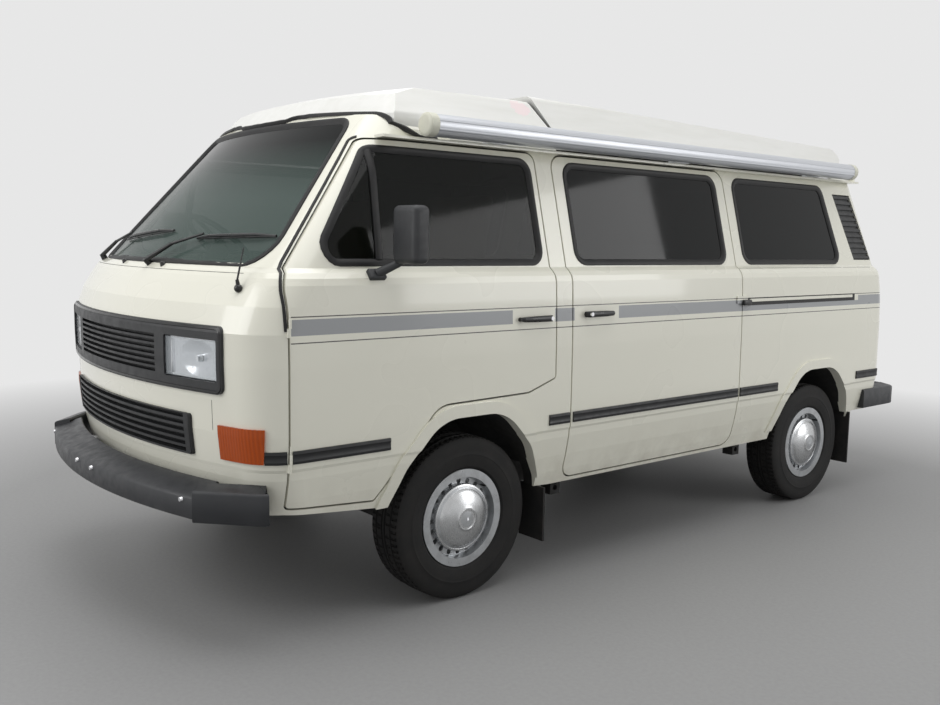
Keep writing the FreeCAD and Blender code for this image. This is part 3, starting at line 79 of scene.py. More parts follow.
class Nodes:  # a node tree, with short names for the nodes used here
    def __init__(self, tree):
        self.tree = tree

    def join(self, value, socket):  # links a socket or sets a constant
        if isinstance(value, bpy.types.NodeSocket):
            self.tree.links.new(value, socket)
        else:
            socket.default_value = value

    def add(self, kind, inputs=None, **settings):
        made = self.tree.nodes.new("ShaderNode" + kind)
        for key, value in settings.items():
            setattr(made, key, value)
        for key, value in (inputs or {}).items():
            self.join(value, made.inputs[key])
        return made

    def place(self, scale=(1, 1, 1)):
        spot = self.add("TexCoord").outputs["Object"]
        return self.add("Mapping", {"Vector": spot, "Scale": scale}).outputs["Vector"]

    def noise(self, place, scale, detail=4.0, roughness=0.6):
        inputs = {"Vector": place, "Scale": scale, "Detail": detail, "Roughness": roughness}
        return self.add("TexNoise", inputs).outputs["Fac"]

    def wave(self, place, scale, direction="X", distortion=0.0):
        inputs = {"Vector": place, "Scale": scale, "Distortion": distortion}
        return self.add("TexWave", inputs, wave_type="BANDS", bands_direction=direction).outputs["Fac"]

    def maths(self, operation, a, b=0.0):
        return self.add("Math", {0: a, 1: b}, operation=operation).outputs[0]

    def times(self, product, *others):
        for other in others:
            product = self.maths("MULTIPLY", product, other)
        return product

    def between(self, value, low, high):
        return self.times(self.maths("GREATER_THAN", value, low), self.maths("LESS_THAN", value, high))

    def vector(self, operation, *values):
        made = self.add("VectorMath", dict(enumerate(values)), operation=operation)
        return made.outputs["Value" if operation == "LENGTH" else "Vector"]

    def stretch(self, value, low, high, newLow=0.0, newHigh=1.0):
        inputs = {"Value": value, "From Min": low, "From Max": high, "To Min": newLow, "To Max": newHigh}
        return self.add("MapRange", inputs, clamp=True).outputs["Result"]

    def mix(self, amount, a, b):
        return self.add("Mix", {0: amount, 6: a, 7: b}, data_type="RGBA").outputs[2]

    def seen(self):  # 1 for what the camera, reflections and glass show
        rays = self.add("LightPath").outputs
        direct = self.maths("MAXIMUM", rays["Is Camera Ray"], rays["Is Glossy Ray"])
        return self.maths("MAXIMUM", direct, rays["Is Transmission Ray"])


class Finish(Nodes):  # a material and its shader
    def __init__(self, name, colour, roughness, metallic=0.0, **sockets):
        self.made = bpy.data.materials.new(name)
        self.made.use_nodes = True
        super().__init__(self.made.node_tree)
        self.shader = self.tree.nodes["Principled BSDF"]
        self.give(Base_Color=colour, Roughness=roughness, Metallic=metallic, **sockets)

    def give(self, **sockets):
        for key, value in sockets.items():
            self.join(value, self.shader.inputs[key.replace("_", " ")])

    def bump(self, height, strength, distance):
        made = self.add("Bump", {"Height": height, "Strength": strength, "Distance": distance})
        self.give(Normal=made.outputs["Normal"])


paint = {
    "colour": srgb(0.925, 0.920, 0.865), "cloud": srgb(0.86, 0.85, 0.78), "dust": srgb(0.62, 0.58, 0.50),
    "band": srgb(0.60, 0.61, 0.62), "bandHeights": (1.086, 1.140),
    "line": srgb(0.26, 0.25, 0.24), "lines": (1.1485, 1.0615), "lineHalf": 0.0019,
    "side": 0.80, "span": (-0.787, 3.12),  # where the stripes run
    "cabHandle": (0.192, 0.425), "slideHandle": (0.538, 0.812), "rail": (1.725, 2.84), "railLow": 1.112,
    "dustHeights": (0.36, 0.60), "dustMost": 0.42, "dustRough": 0.4, "rough": (0.26, 0.30),
}


def paintMaterial():
    f = Finish("ivoryPaint", paint["colour"], 0.28, Coat_Weight=0.6, Coat_Roughness=0.06)
    place = f.place()
    x, y, z = f.add("SeparateXYZ", {0: place}).outputs
    along = f.maths("SUBTRACT", y, frontY)
    outer = f.maths("GREATER_THAN", f.maths("ABSOLUTE", x), paint["side"])
    flank = f.times(outer, f.between(along, *paint["span"]))
    left = f.maths("GREATER_THAN", x, 0.0)
    rail = f.times(f.between(along, *paint["rail"]), f.maths("GREATER_THAN", z, paint["railLow"]))
    slide = f.between(along, *paint["slideHandle"])
    band = f.times(f.between(z, *paint["bandHeights"]), flank)
    for gap in (f.between(along, *paint["cabHandle"]), f.times(left, slide), f.times(left, rail)):
        band = f.times(band, f.maths("SUBTRACT", 1.0, gap))
    lines = 0.0
    for height in paint["lines"]:
        offset = f.maths("ABSOLUTE", f.maths("SUBTRACT", z, height))
        lines = f.maths("MAXIMUM", f.maths("LESS_THAN", offset, paint["lineHalf"]), lines)
    cloud = f.stretch(f.noise(place, 1.2, 2.0), 0.35, 0.75, 0.0, 0.08)
    speckle = f.stretch(f.noise(place, 9.0, 6.0), 0.40, 0.75, 0.0, paint["dustMost"])
    dust = f.times(f.stretch(z, *paint["dustHeights"], 1.0, 0.0), speckle)
    colour = f.mix(dust, f.mix(cloud, paint["colour"], paint["cloud"]), paint["dust"])
    colour = f.mix(f.times(lines, flank), f.mix(band, colour, paint["band"]), paint["line"])
    rough = f.stretch(f.noise(place, 2.0, 2.0), 0.3, 0.7, *paint["rough"])
    f.give(Base_Color=colour, Roughness=f.maths("ADD", rough, f.times(dust, paint["dustRough"])))
    return f.made


roofPlastic = {
    "colour": srgb(0.90, 0.90, 0.885), "shade": srgb(0.82, 0.82, 0.79), "bare": srgb(0.93, 0.87, 0.87),
    "patch": (0.655, 0.438, 1.962), "patchReach": (0.10, 0.052, 0.034),  # the chipped place
    "rough": (0.36, 0.75),
}


def roofMaterial():
    smooth, worn = roofPlastic["rough"]
    f = Finish("mouldedRoof", roofPlastic["colour"], smooth, Coat_Weight=0.25, Coat_Roughness=0.15)
    place = f.place()
    streaks = f.stretch(f.noise(f.place((6.0, 0.8, 6.0)), 3.0, 5.0), 0.40, 0.72, 0.0, 0.35)
    colour = f.mix(streaks, roofPlastic["colour"], roofPlastic["shade"])
    px, py, pz = roofPlastic["patch"]
    reach = f.vector("DIVIDE", f.vector("SUBTRACT", place, (px, py + frontY, pz)), roofPlastic["patchReach"])
    torn = f.stretch(f.noise(place, 38.0, 6.0, 0.7), 0.2, 0.8, -0.55, 0.55)
    chip = f.stretch(f.maths("ADD", f.vector("LENGTH", reach), torn), 0.93, 0.99, 1.0, 0.0)
    rough = f.stretch(chip, 0.0, 1.0, smooth, worn)
    f.give(Base_Color=f.mix(chip, colour, roofPlastic["bare"]), Roughness=rough)
    f.bump(f.maths("SUBTRACT", f.times(f.noise(place, 260.0, 2.0), 0.06), f.times(chip, 0.5)), 0.25, 0.002)
    return f.made


def plasticMaterial(name, colour, lighter, roughness, grain=420.0, depth=0.18):
    f = Finish(name, srgb(*colour), roughness)
    place = f.place()
    faded = f.stretch(f.noise(place, 7.0, 6.0), 0.35, 0.75, 0.0, 0.5)
    f.give(Base_Color=f.mix(faded, srgb(*colour), srgb(*lighter)),
           Roughness=f.stretch(f.noise(place, 25.0, 3.0), 0.3, 0.7, roughness - 0.08, roughness + 0.12))
    f.bump(f.noise(place, grain, 2.0), depth, 0.001)
    return f.made


def metalMaterial(name, colour, roughness, metallic, dirt=0.0, amount=0.15, streak=(1, 1, 1), scale=60.0):
    colour = srgb(*colour)
    f = Finish(name, colour, roughness, metallic)
    brushed = f.noise(f.place(streak), scale, 3.0)
    tone = f.mix(f.stretch(brushed, 0.3, 0.7, 0.0, amount), colour, scaled(colour, 0.72))
    if dirt:
        grime = f.stretch(f.noise(f.place(), 18.0, 6.0), 0.45, 0.8, 0.0, dirt)
        tone = f.mix(grime, tone, srgb(0.30, 0.27, 0.23))
    f.give(Base_Color=tone, Roughness=f.stretch(brushed, 0.2, 0.8, roughness * 0.8, roughness * 1.35))
    return f.made


def glassMaterial(name, colour, alpha, shine, shade=0.0):  # shade gives a band of painted shade at the top: darker and less clear, standing in for the dark ceiling reflected there
    colour, rough = srgb(*colour), 0.03
    f = Finish(name, colour, rough, Alpha=alpha, IOR=1.45, Specular_IOR_Level=shine)
    f.give(Roughness=f.stretch(f.noise(f.place(), 5.0), 0.3, 0.8, rough, rough + 0.05))
    if shade:
        # painted shade: towards the top the glass darkens to near black and its alpha moves to shade
        top = f.stretch(f.add("SeparateXYZ", {0: f.place()}).outputs[2], 1.55, 1.78)
        f.give(Base_Color=f.mix(top, colour, srgb(0.05, 0.06, 0.06)))
        f.give(Alpha=f.stretch(top, 0.0, 1.0, alpha, shade))
    return f.made


def lensMaterial(name, colour, alpha, ribScale, coat):
    colour = srgb(*colour)
    f = Finish(name, colour, 0.12, Alpha=alpha, IOR=1.49, Coat_Weight=coat, Specular_IOR_Level=0.5 * coat)
    ribs = f.wave(f.place(), ribScale)
    f.bump(ribs, 0.35, 0.003)
    f.give(Base_Color=f.mix(f.stretch(ribs, 0.0, 1.0, 0.0, 0.5), colour, scaled(colour, 0.75)))
    return f.made


def rubberMaterial(name, colour, dusty, roughness=0.72):
    f = Finish(name, srgb(*colour), roughness, Specular_IOR_Level=0.35)
    place = f.place()
    dust = f.stretch(f.noise(place, 12.0, 8.0, 0.65), 0.42, 0.80, 0.0, 0.55)
    f.give(Base_Color=f.mix(dust, srgb(*colour), srgb(*dusty)))
    f.bump(f.noise(place, 500.0, 3.0), 0.2, 0.001)
    return f.made


def clothMaterial(name, colour, second, pitch):
    f = Finish(name, srgb(*colour), 0.9, Sheen_Weight=0.35, Sheen_Roughness=0.5)
    place = f.place()
    weave = f.times(f.wave(place, pitch, "X", 0.6), f.wave(place, pitch * 0.8, "DIAGONAL", 0.6))
    fleck = f.stretch(f.noise(place, 220.0, 2.0), 0.35, 0.7, 0.0, 0.8)
    f.give(Base_Color=f.mix(f.times(weave, fleck), srgb(*colour), srgb(*second)))
    f.bump(weave, 0.3, 0.0015)
    return f.made


def boardMaterial(name, colour, second):
    f = Finish(name, srgb(*colour), 0.42)
    grain = f.noise(f.place((14.0, 14.0, 1.0)), 4.0, 8.0, 0.7)
    f.give(Base_Color=f.mix(f.stretch(grain, 0.35, 0.7), srgb(*colour), srgb(*second)))
    f.bump(grain, 0.06, 0.001)
    return f.made


recipes = {
    plasticMaterial: {
        "black": ("grainedPlastic", (0.155, 0.160, 0.170), (0.24, 0.245, 0.25), 0.50),
        "bumper": ("bumperPlastic", (0.130, 0.137, 0.152), (0.20, 0.205, 0.215), 0.40, 700.0, 0.12),
        "grille": ("grillePlastic", (0.115, 0.120, 0.128), (0.175, 0.18, 0.185), 0.45, 600.0, 0.10),
        "louvre": ("louvrePlastic", (0.055, 0.060, 0.068), (0.10, 0.105, 0.11), 0.45),
        "dash": ("dashPlastic", (0.19, 0.19, 0.19), (0.25, 0.25, 0.25), 0.65, 300.0, 0.3),
        "enamel": ("blackEnamel", (0.07, 0.07, 0.075), (0.13, 0.13, 0.13), 0.32, 900.0, 0.05),
        "gloss": ("glossBlack", (0.06, 0.062, 0.066), (0.12, 0.12, 0.125), 0.16, 900.0, 0.02),
        "cream": ("creamPlastic", (0.86, 0.86, 0.80), (0.78, 0.77, 0.70), 0.4, 500.0, 0.05),
        "under": ("undersealedSteel", (0.11, 0.11, 0.11), (0.20, 0.19, 0.17), 0.8, 90.0, 0.5),
    },
    rubberMaterial: {
        "seal": ("sealRubber", (0.075, 0.075, 0.08), (0.17, 0.165, 0.16), 0.5),
        "tyre": ("tyreRubber", (0.075, 0.073, 0.072), (0.16, 0.15, 0.14)),
        "flap": ("flapRubber", (0.10, 0.10, 0.10), (0.23, 0.215, 0.20)),
    },
    metalMaterial: {
        "wheel": ("wheelSilver", (0.74, 0.75, 0.76), 0.30, 0.75, 0.35),
        "cap": ("capSilver", (0.78, 0.785, 0.79), 0.26, 0.9, 0.18, 0.2, (1, 9, 1), 40.0),
        "chrome": ("brightChrome", (0.90, 0.90, 0.91), 0.08, 1.0, 0.0, 0.05),
        "alloy": ("satinAlloy", (0.80, 0.81, 0.83), 0.34, 0.55, 0.0, 0.12, (30, 0.6, 30), 8.0),
        "reflector": ("lampReflector", (0.86, 0.87, 0.88), 0.16, 1.0, 0.0, 0.08),
        "mirror": ("mirrorGlass", (0.86, 0.88, 0.90), 0.03, 1.0, 0.0, 0.02),
        "cast": ("castMetal", (0.42, 0.42, 0.43), 0.6, 0.7, 0.7, 0.4, (1, 1, 1), 90.0),
    },
    glassMaterial: {
        # the screen's last value is the alpha of its top band of painted shade
        "clearGlass": ("screenGlass", (0.34, 0.40, 0.38), 0.50, 0.15, 0.94),
        "doorGlass": ("cabGlass", (0.06, 0.07, 0.06), 0.70, 0.25),
        "darkGlass": ("tintedGlass", (0.045, 0.055, 0.055), 0.94, 0.25),
    },
    lensMaterial: {
        "lens": ("clearLens", (0.88, 0.91, 0.93), 0.22, 18.0, 1.0),
        "amber": ("amberLens", (0.72, 0.30, 0.02), 0.96, 26.0, 0.3),
        "red": ("redLens", (0.62, 0.05, 0.04), 0.96, 22.0, 0.5),
    },
    clothMaterial: {
        "cloth": ("seatCloth", (0.50, 0.42, 0.25), (0.34, 0.28, 0.17), 170.0),
        "canvas": ("proofedCanvas", (0.74, 0.72, 0.64), (0.60, 0.58, 0.51), 260.0),
    },
    boardMaterial: {"board": ("cupboardBoard", (0.62, 0.54, 0.43), (0.50, 0.42, 0.32))},
}
m = {"paint": paintMaterial(), "roof": roofMaterial()}
for make, rows in recipes.items():
    m.update({key: make(*row) for key, row in rows.items()})
print("materials made:", len(m))

# Finish of the CAD nodes that stay visible
nodeFinish = {
    "paint": ["roof_frame", "rear_frame", "nose_panel", "side_left", "side_right", "cab_door_left",
              "cab_door_right", "sliding_door", "tailgate"],
    "roof": ["roof_cap", "pop_top_lid"],
    "clearGlass": ["windscreen"],
    "doorGlass": ["cab_glass_left", "cab_glass_right"],
    "darkGlass": ["side_windows", "tailgate_glass"],
    "black": ["mirror_left", "mirror_right"],
    "bumper": ["front_bumper", "rear_bumper"],
    "grille": ["grilles"],
    "louvre": ["air_intakes"],
    "amber": ["indicators"],
    "red": ["tail_lamps"],
    "flap": ["mud_flaps"],
    "alloy": ["awning"],
    "enamel": ["wipers"],
    "dash": ["dashboard", "steering_wheel"],
    "board": ["galley"],
    "under": ["floor_pan", "cab_floor", "engine_deck", "wheel_houses", "front_suspension", "rear_suspension",
              "fuel_tank", "jack_sockets", "tow_eyes"],
    "cast": ["engine", "knuckle_left", "knuckle_right"],
    "wheel": ["wheel_" + corner for corner in corners],
    "canvas": ["pop_top_canvas"],
    "cloth": ["cab_seats", "rear_bench"],
    "lens": ["headlamps"],
    "tyre": ["tyre_" + corner for corner in corners],
}
for finish, names in nodeFinish.items():
    for name in names:
        nodes[name].data.materials.clear()
        nodes[name].data.materials.append(m[finish])


# Geometry helpers
def skinTree(names):
    points, faces = [], []
    for name in names:
        mesh = nodes[name].data
        start = len(points)
        points += [v.co.copy() for v in mesh.vertices]
        faces += [[start + i for i in p.vertices] for p in mesh.polygons]
    return BVHTree.FromPolygons(points, faces)


skin = skinTree(nodeFinish["paint"])
screenTree = skinTree(nodeFinish["paint"] + ["windscreen"])
roofTree, capTree = skinTree(["roof_frame"]), skinTree(["roof_cap"])


def hitSkin(start, direction, tree):
    start, direction = Vector(start), Vector(direction)
    place, normal, _, _ = tree.ray_cast(start, direction)
    if place is None:
        place, normal, _, _ = tree.find_nearest(start + direction * 1.1)
    return place, -normal if normal.dot(direction) > 0 else normal


def onSide(sign, tree=skin):  # projects (back from the front axle, height) onto a side
    return (lambda a, b: hitSkin((sign * 2.0, frontY + a, b), (-sign, 0, 0), tree),
            lambda a, b: Vector((0, a, b)))


def onEnd(way, tree=skin):  # projects (x, height) onto the front, way -1, or the rear
    return (lambda a, b: hitSkin((a, way * 3.6, b), (0, -way, 0), tree),
            lambda a, b: Vector((a, 0, b)))


def roundedLoop(points, radius, step=0.03, arcSteps=6):  # samples an outline as (place, outward normal) pairs
    ends = [Vector(p) for p in points]
    count = len(ends)
    radii = radius if isinstance(radius, list) else [radius] * count
    turnSign = 1 if sum(ends[i - 1].cross(ends[i]) for i in range(count)) > 0 else -1
    arcs = []
    for i, corner in enumerate(ends):
        before = (corner - ends[i - 1]).normalized()
        after = (ends[(i + 1) % count] - corner).normalized()
        turn = math.atan2(before.cross(after), before.dot(after))
        arcs.append((corner, before, after, turn, radii[i] * abs(math.tan(turn / 2)), radii[i]))
    samples = []
    for i, (corner, before, after, turn, reach, size) in enumerate(arcs):
        inward = Vector((-before.y, before.x)) * (1 if turn > 0 else -1)
        centre = corner - before * reach + inward * size
        for k in range(arcSteps + 1):
            spoke = Matrix.Rotation(turn * k / arcSteps, 2) @ (-inward)
            samples.append((centre + spoke * size, spoke * (1 if turn * turnSign > 0 else -1)))
        nextArc = arcs[(i + 1) % count]
        start, end = corner + after * reach, nextArc[0] - after * nextArc[4]
        parts = max(1, round((end - start).length / step))
        outward = Vector((after.y, -after.x)) * turnSign
        samples += [(start.lerp(end, k / parts), outward) for k in range(1, parts)]
    return samples


def flatAgainst(direction, normal):
    return direction - normal * direction.dot(normal)


def station(projector, at, sideways):  # a place on the skin, the direction across and the normal
    spot, normal = projector[0](at.x, at.y)
    return spot, flatAgainst(projector[1](*sideways), normal).normalized(), normal


def stationsOn(projector, samples, inset):
    return [station(projector, point + outward * inset, outward) for point, outward in samples]


def lineOn(projector, start, end, across, step=0.04):
    start, end = Vector(start), Vector(end)
    parts = max(2, round((end - start).length / step))
    return [station(projector, start.lerp(end, k / parts), across) for k in range(parts + 1)]


def newObject(bm, name):
    mesh = bpy.data.meshes.new(name)
    bm.to_mesh(mesh)
    bm.free()
    made = bpy.data.objects.new(name, mesh)
    bpy.context.scene.collection.objects.link(made)
    return made


def toObject(bm, name, material, body="root", replaces=None, smooth=True, recalc=True):
    if recalc:
        bmesh.ops.remove_doubles(bm, verts=bm.verts, dist=0.00001)
        bmesh.ops.recalc_face_normals(bm, faces=bm.faces)
    made = newObject(bm, name)
    made.data.materials.append(m[material])
    if smooth:
        made.data.shade_smooth()
        made.data.set_sharp_from_angle(angle=math.radians(38))
    if body:
        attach(made, body)
    if replaces:
        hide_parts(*replaces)
    return made


def sweepInto(bm, stations, profile, closed):  # carries a profile of (sideways, outward) pairs along stations
    loops = []
    for side, out in profile:
        verts = [bm.verts.new(spot + across * side + normal * out) for spot, across, normal in stations]
        edges = [bm.edges.new((verts[i], verts[i + 1])) for i in range(len(verts) - 1)]
        if closed:
            edges.append(bm.edges.new((verts[-1], verts[0])))
        loops.append(edges)
    for i in range(len(loops)):
        bmesh.ops.bridge_loops(bm, edges=loops[i] + loops[(i + 1) % len(loops)])
    if not closed:
        bmesh.ops.holes_fill(bm, edges=[e for e in bm.edges if len(e.link_faces) == 1], sides=0)


def sweep(name, stations, profile, body="root", material="seal", closed=False):
    bm = bmesh.new()
    sweepInto(bm, stations, profile, closed)
    return toObject(bm, name, material, body)


def ringOn(name, projector, outline, radius, part, body="root", material="seal"):
    stations = stationsOn(projector, roundedLoop(outline, radius), part["inset"])
    sweep(name, stations, part["profile"], body, material, closed=True)


def roundedBox(bm, low, high, bevel, segments=3):
    low, high = Vector(low), Vector(high)
    made = bmesh.ops.create_cube(bm, size=1.0)["verts"]
    bmesh.ops.scale(bm, vec=high - low, verts=made)
    bmesh.ops.translate(bm, vec=(low + high) / 2, verts=made)
    if bevel:
        rounded(bm, made, bevel, segments)
    return made


def rounded(bm, verts, bevel, segments):
    edges = list({e for v in verts for e in v.link_edges})
    bmesh.ops.bevel(bm, geom=edges, offset=bevel, segments=segments, profile=0.5, affect="EDGES", material=-1)


def spun(bm, profile, centre, axis=(1, 0, 0), steps=96):  # turns (along the axis, radius) pairs about it
    axis = Vector(axis)
    side = axis.orthogonal().normalized() if abs(axis.x) < 0.9 else Vector((0, 0, 1))
    verts = [bm.verts.new(Vector(centre) + axis * a + side * r) for a, r in profile]
    edges = [bm.edges.new((verts[i], verts[i + 1])) for i in range(len(verts) - 1)]
    bmesh.ops.spin(bm, geom=verts + edges, cent=centre, axis=axis, dvec=(0, 0, 0), angle=math.tau,
                   steps=steps, use_merge=True, use_normal_flip=False, use_duplicate=False)


def rodBetween(bm, start, end, radius, radiusEnd=None, segments=12):
    start, end = Vector(start), Vector(end)
    coneAlong(bm, (start + end) / 2, end - start, radius, radius if radiusEnd is None else radiusEnd,
              (end - start).length, segments)


def coneAlong(bm, centre, axis, radius, radiusEnd, depth, segments=12):
    made = bmesh.ops.create_cone(bm, cap_ends=True, segments=segments, radius1=radius, radius2=radiusEnd,
                                 depth=depth)["verts"]
    bmesh.ops.rotate(bm, cent=(0, 0, 0), matrix=axis.to_track_quat("Z", "Y").to_matrix(), verts=made)
    bmesh.ops.translate(bm, vec=centre, verts=made)


# Window rubbers and door seals
openings = {
    "cab": [(-0.672, 1.323), (-0.380, 1.737), (0.395, 1.737), (0.395, 1.323)],
    "slide": [(0.600, 1.323), (0.600, 1.737), (1.645, 1.737), (1.645, 1.323)],
    "rear": [(1.800, 1.323), (1.800, 1.737), (2.630, 1.737), (2.715, 1.323)],
    "screen": [(-0.752, 1.318), (-0.583, 1.850), (0.583, 1.850), (0.752, 1.318)],
    "gate": [(-0.600, 1.325), (-0.545, 1.690), (0.545, 1.690), (0.600, 1.325)],
    "radius": 0.055, "screenRadius": 0.070,
}
rubber = {"inset": 0.012, "profile": [(0.0, -0.002), (-0.003, 0.004), (-0.010, 0.0055), (-0.020, 0.003),
                                      (-0.030, -0.005), (-0.026, -0.012), (-0.008, -0.012)]}


def windowRubbers():
    radius = openings["radius"]
    for side, sign in sides:
        for label, body in (("cab", "cab_door_" + side), ("slide", "root"), ("rear", "root")):
            ringOn("rubber_%s_%s" % (label, side), onSide(sign), openings[label], radius, rubber, body)
    ringOn("rubber_screen", onEnd(-1), openings["screen"], openings["screenRadius"], rubber)
    ringOn("rubber_gate", onEnd(1), openings["gate"], radius, rubber, "tailgate")


doors = {
    "cab": [(-0.790, 0.500), (-0.790, 1.262), (-0.382, 1.768), (0.430, 1.768), (0.430, 0.857), (0.284, 0.809),
            (-0.174, 0.800), (-0.352, 0.586), (-0.440, 0.474)],
    "cabRadii": [0.012, 0.120, 0.040, 0.040, 0.012, 0.080, 0.120, 0.160, 0.012],
    "slide": [(0.531, 0.412), (0.531, 1.768), (1.718, 1.768), (1.718, 0.412)],
    "gate": [(-0.715, 0.930), (-0.715, 1.306), (-0.640, 1.762), (0.640, 1.762), (0.715, 1.306),
             (0.715, 0.930)],
    "radius": 0.060, "inset": -0.012,
    "profile": [(0.003, -0.015), (0.018, -0.015), (0.018, -0.030), (0.003, -0.030)],
}


def doorSeals():
    for side, sign in sides:
        ringOn("seal_cab_" + side, onSide(sign), doors["cab"], doors["cabRadii"], doors)
    ringOn("seal_slide", onSide(1), doors["slide"], doors["radius"], doors)
    ringOn("seal_gate", onEnd(1), doors["gate"], doors["radius"], doors)


# Black rub strips along the flanks
strip = {"height": 0.680,
         "profile": [(-0.0225, -0.001), (-0.0215, 0.006), (-0.0125, 0.0075), (-0.0105, 0.0060),
                     (0.0105, 0.0060), (0.0125, 0.0075), (0.0215, 0.006), (0.0225, -0.001)],
         "runs": [("corner", -0.864, -0.801), ("door", -0.783, -0.392), ("pillar", 0.402, 0.520),
                  ("slide", 0.541, 1.708), ("quarter", 1.728, 2.060), ("tail", 2.858, 3.100)]}


def rubStrips():
    for side, sign in sides:
        for label, start, end in strip["runs"]:
            line = lineOn(onSide(sign), (start, strip["height"]), (end, strip["height"]), (0, 1))
            body = "cab_door_" + side if label == "door" else "root"
            sweep("strip_%s_%s" % (label, side), line, strip["profile"], body, "louvre")


# Tyres: one spun carcass a wheel, with grooves pressed into the shoulder and centre ribs
tyre = {
    "steps": 160, "half": 0.0925, "radius": 0.325, "bead": 0.176, "lip": 0.1955, "groove": 0.0065,
    "tread": 0.074,
    "block": {"every": 2, "above": 0.312, "from": 0.0505, "to": 0.082, "inset": 0.0022, "depth": -0.0050},
    "rib": {"every": 3, "above": 0.322, "from": 0.0150, "to": 0.0400, "inset": 0.0032, "depth": -0.0045},
    "valve": (0.055, 0.112, 0.030),
}


def tyreProfile():
    r, half, tread, deep = tyre["radius"], tyre["half"], tyre["tread"], tyre["groove"]
    wall = [(0.0745, tyre["bead"]), (0.0752, tyre["lip"]), (0.0830, 0.2030), (0.0845, 0.2050),
            (0.0862, 0.2060), (0.0900, 0.2260), (half, 0.2470), (half - 0.0002, 0.2520),
            (half + 0.0008, 0.2545), (half - 0.0004, 0.2570), (0.0915, 0.2740), (0.0895, 0.2950), (0.0885, 0.2990), (0.0880, 0.3010)]
    outer = wall + [(0.0855, 0.3090), (0.0800, 0.3190), (tread, r - 0.0025), (0.0500, r - 0.0008),
                    (0.0480, r - deep), (0.0425, r - deep), (0.0405, r - 0.0004), (0.0140, r),
                    (0.0120, r - deep), (0.0060, r - deep), (0.0040, r)]
    return outer + [(-a, b) for a, b in reversed(outer)]


def makeTyre(label, sign, centre):
    bm = bmesh.new()
    profile = [(sign * a, b) for a, b in tyreProfile()]
    spun(bm, profile + [profile[0]], centre, steps=tyre["steps"])
    bmesh.ops.remove_doubles(bm, verts=bm.verts, dist=0.00001)
    bmesh.ops.recalc_face_normals(bm, faces=bm.faces)
    pressed = {"block": [], "rib": []}
    for face in bm.faces:
        spot = face.calc_center_median() - centre
        radius, across = math.hypot(spot.y, spot.z), abs(spot.x)
        turn = int((math.atan2(spot.z, spot.y) / math.tau + 0.5) * tyre["steps"])
        for kind, shift in (("block", 0), ("rib", int(spot.x > 0))):
            part = tyre[kind]
            inside = radius > part["above"] and part["from"] < across < part["to"]
            if inside and (turn + shift) % part["every"] == 0:
                pressed[kind].append(face)
    for kind, faces in pressed.items():
        bmesh.ops.inset_individual(bm, faces=faces, thickness=tyre[kind]["inset"], depth=tyre[kind]["depth"],
                                   use_even_offset=True)
    toObject(bm, "tyre_%s_Tyre" % label, "tyre", "wheel_" + label, ["tyre_" + label])


hubcap = {"face": 0.05075, "radius": 0.1316, "side": 0.024, "rise": 0.036, "boss": 0.043, "proud": 0.0006,
          "thick": 0.0008}


def hubcapProfile():
    face, radius, edge = hubcap["face"], hubcap["radius"], hubcap["face"] + hubcap["side"]
    rise, proud, boss = hubcap["rise"], hubcap["proud"], hubcap["boss"]
    sphere = (radius ** 2 + rise ** 2) / (2 * rise)

    def dome(r):
        return edge + rise - sphere + math.sqrt(sphere ** 2 - r ** 2) + proud

    rim = [(face + 0.001, radius - 0.004), (face + 0.001, radius + 0.0040), (edge - 0.006, radius + 0.0035),
           (edge + 0.0015, radius + 0.0010), (edge + 0.0040, radius - 0.0060),
           (edge + 0.0015, radius - 0.0110)]
    slope = [(dome(radius * share), radius * share) for share in (0.88, 0.78, 0.66, 0.54, 0.44, 0.38)]
    top = [(0.0005, boss + 0.002), (0.0030, boss), (0.0030, boss - 0.004), (0.0010, boss - 0.0055),
           (0.0012, boss * 0.5), (0.0012, 0.0)]
    return rim + slope + [(dome(boss) + out, r) for out, r in top]


def makeHubcap(label, sign, centre):
    bm = bmesh.new()
    spun(bm, [(sign * a, b) for a, b in hubcapProfile()], centre)
    made = toObject(bm, "hubcap_" + label, "cap", "wheel_" + label)
    thick = made.modifiers.new("wall", "SOLIDIFY")
    thick.thickness, thick.offset = hubcap["thick"], -1


def makeWheels():
    for end, y in (("front", frontY), ("rear", rearY)):
        for side, sign in sides:
            label = "%s_%s" % (end, side)
            centre = Vector((sign * wheelX, y, wheelZ))
            makeTyre(label, sign, centre)
            makeHubcap(label, sign, centre)
            bm = bmesh.new()
            out, reach, length = tyre["valve"]
            spot = Vector((sign * (wheelX + out), y + reach, wheelZ + reach))
            rodBetween(bm, spot, spot + Vector((sign * length, 0, 0)), 0.0045, 0.0035)
            toObject(bm, "valve_" + label, "seal", "wheel_" + label)


# Door handles, tailgate handle and slide rail
handle = {
    "length": 0.172, "tall": 0.024, "cab": (0.309, 1.102), "slide": (0.680, 1.110), "gate": (0.0, 1.030),
    "grip": [(-1, 0.008, 0.6), (-0.86, 0.022, 0.85), (-0.3, 0.027, 1.0), (0.5, 0.028, 1.05),
             (0.86, 0.026, 1.1), (1, 0.010, 1.0)],  # along, outward, thickness
    "thick": 0.0065, "feet": (-0.93, 0.88), "button": 0.80,
}


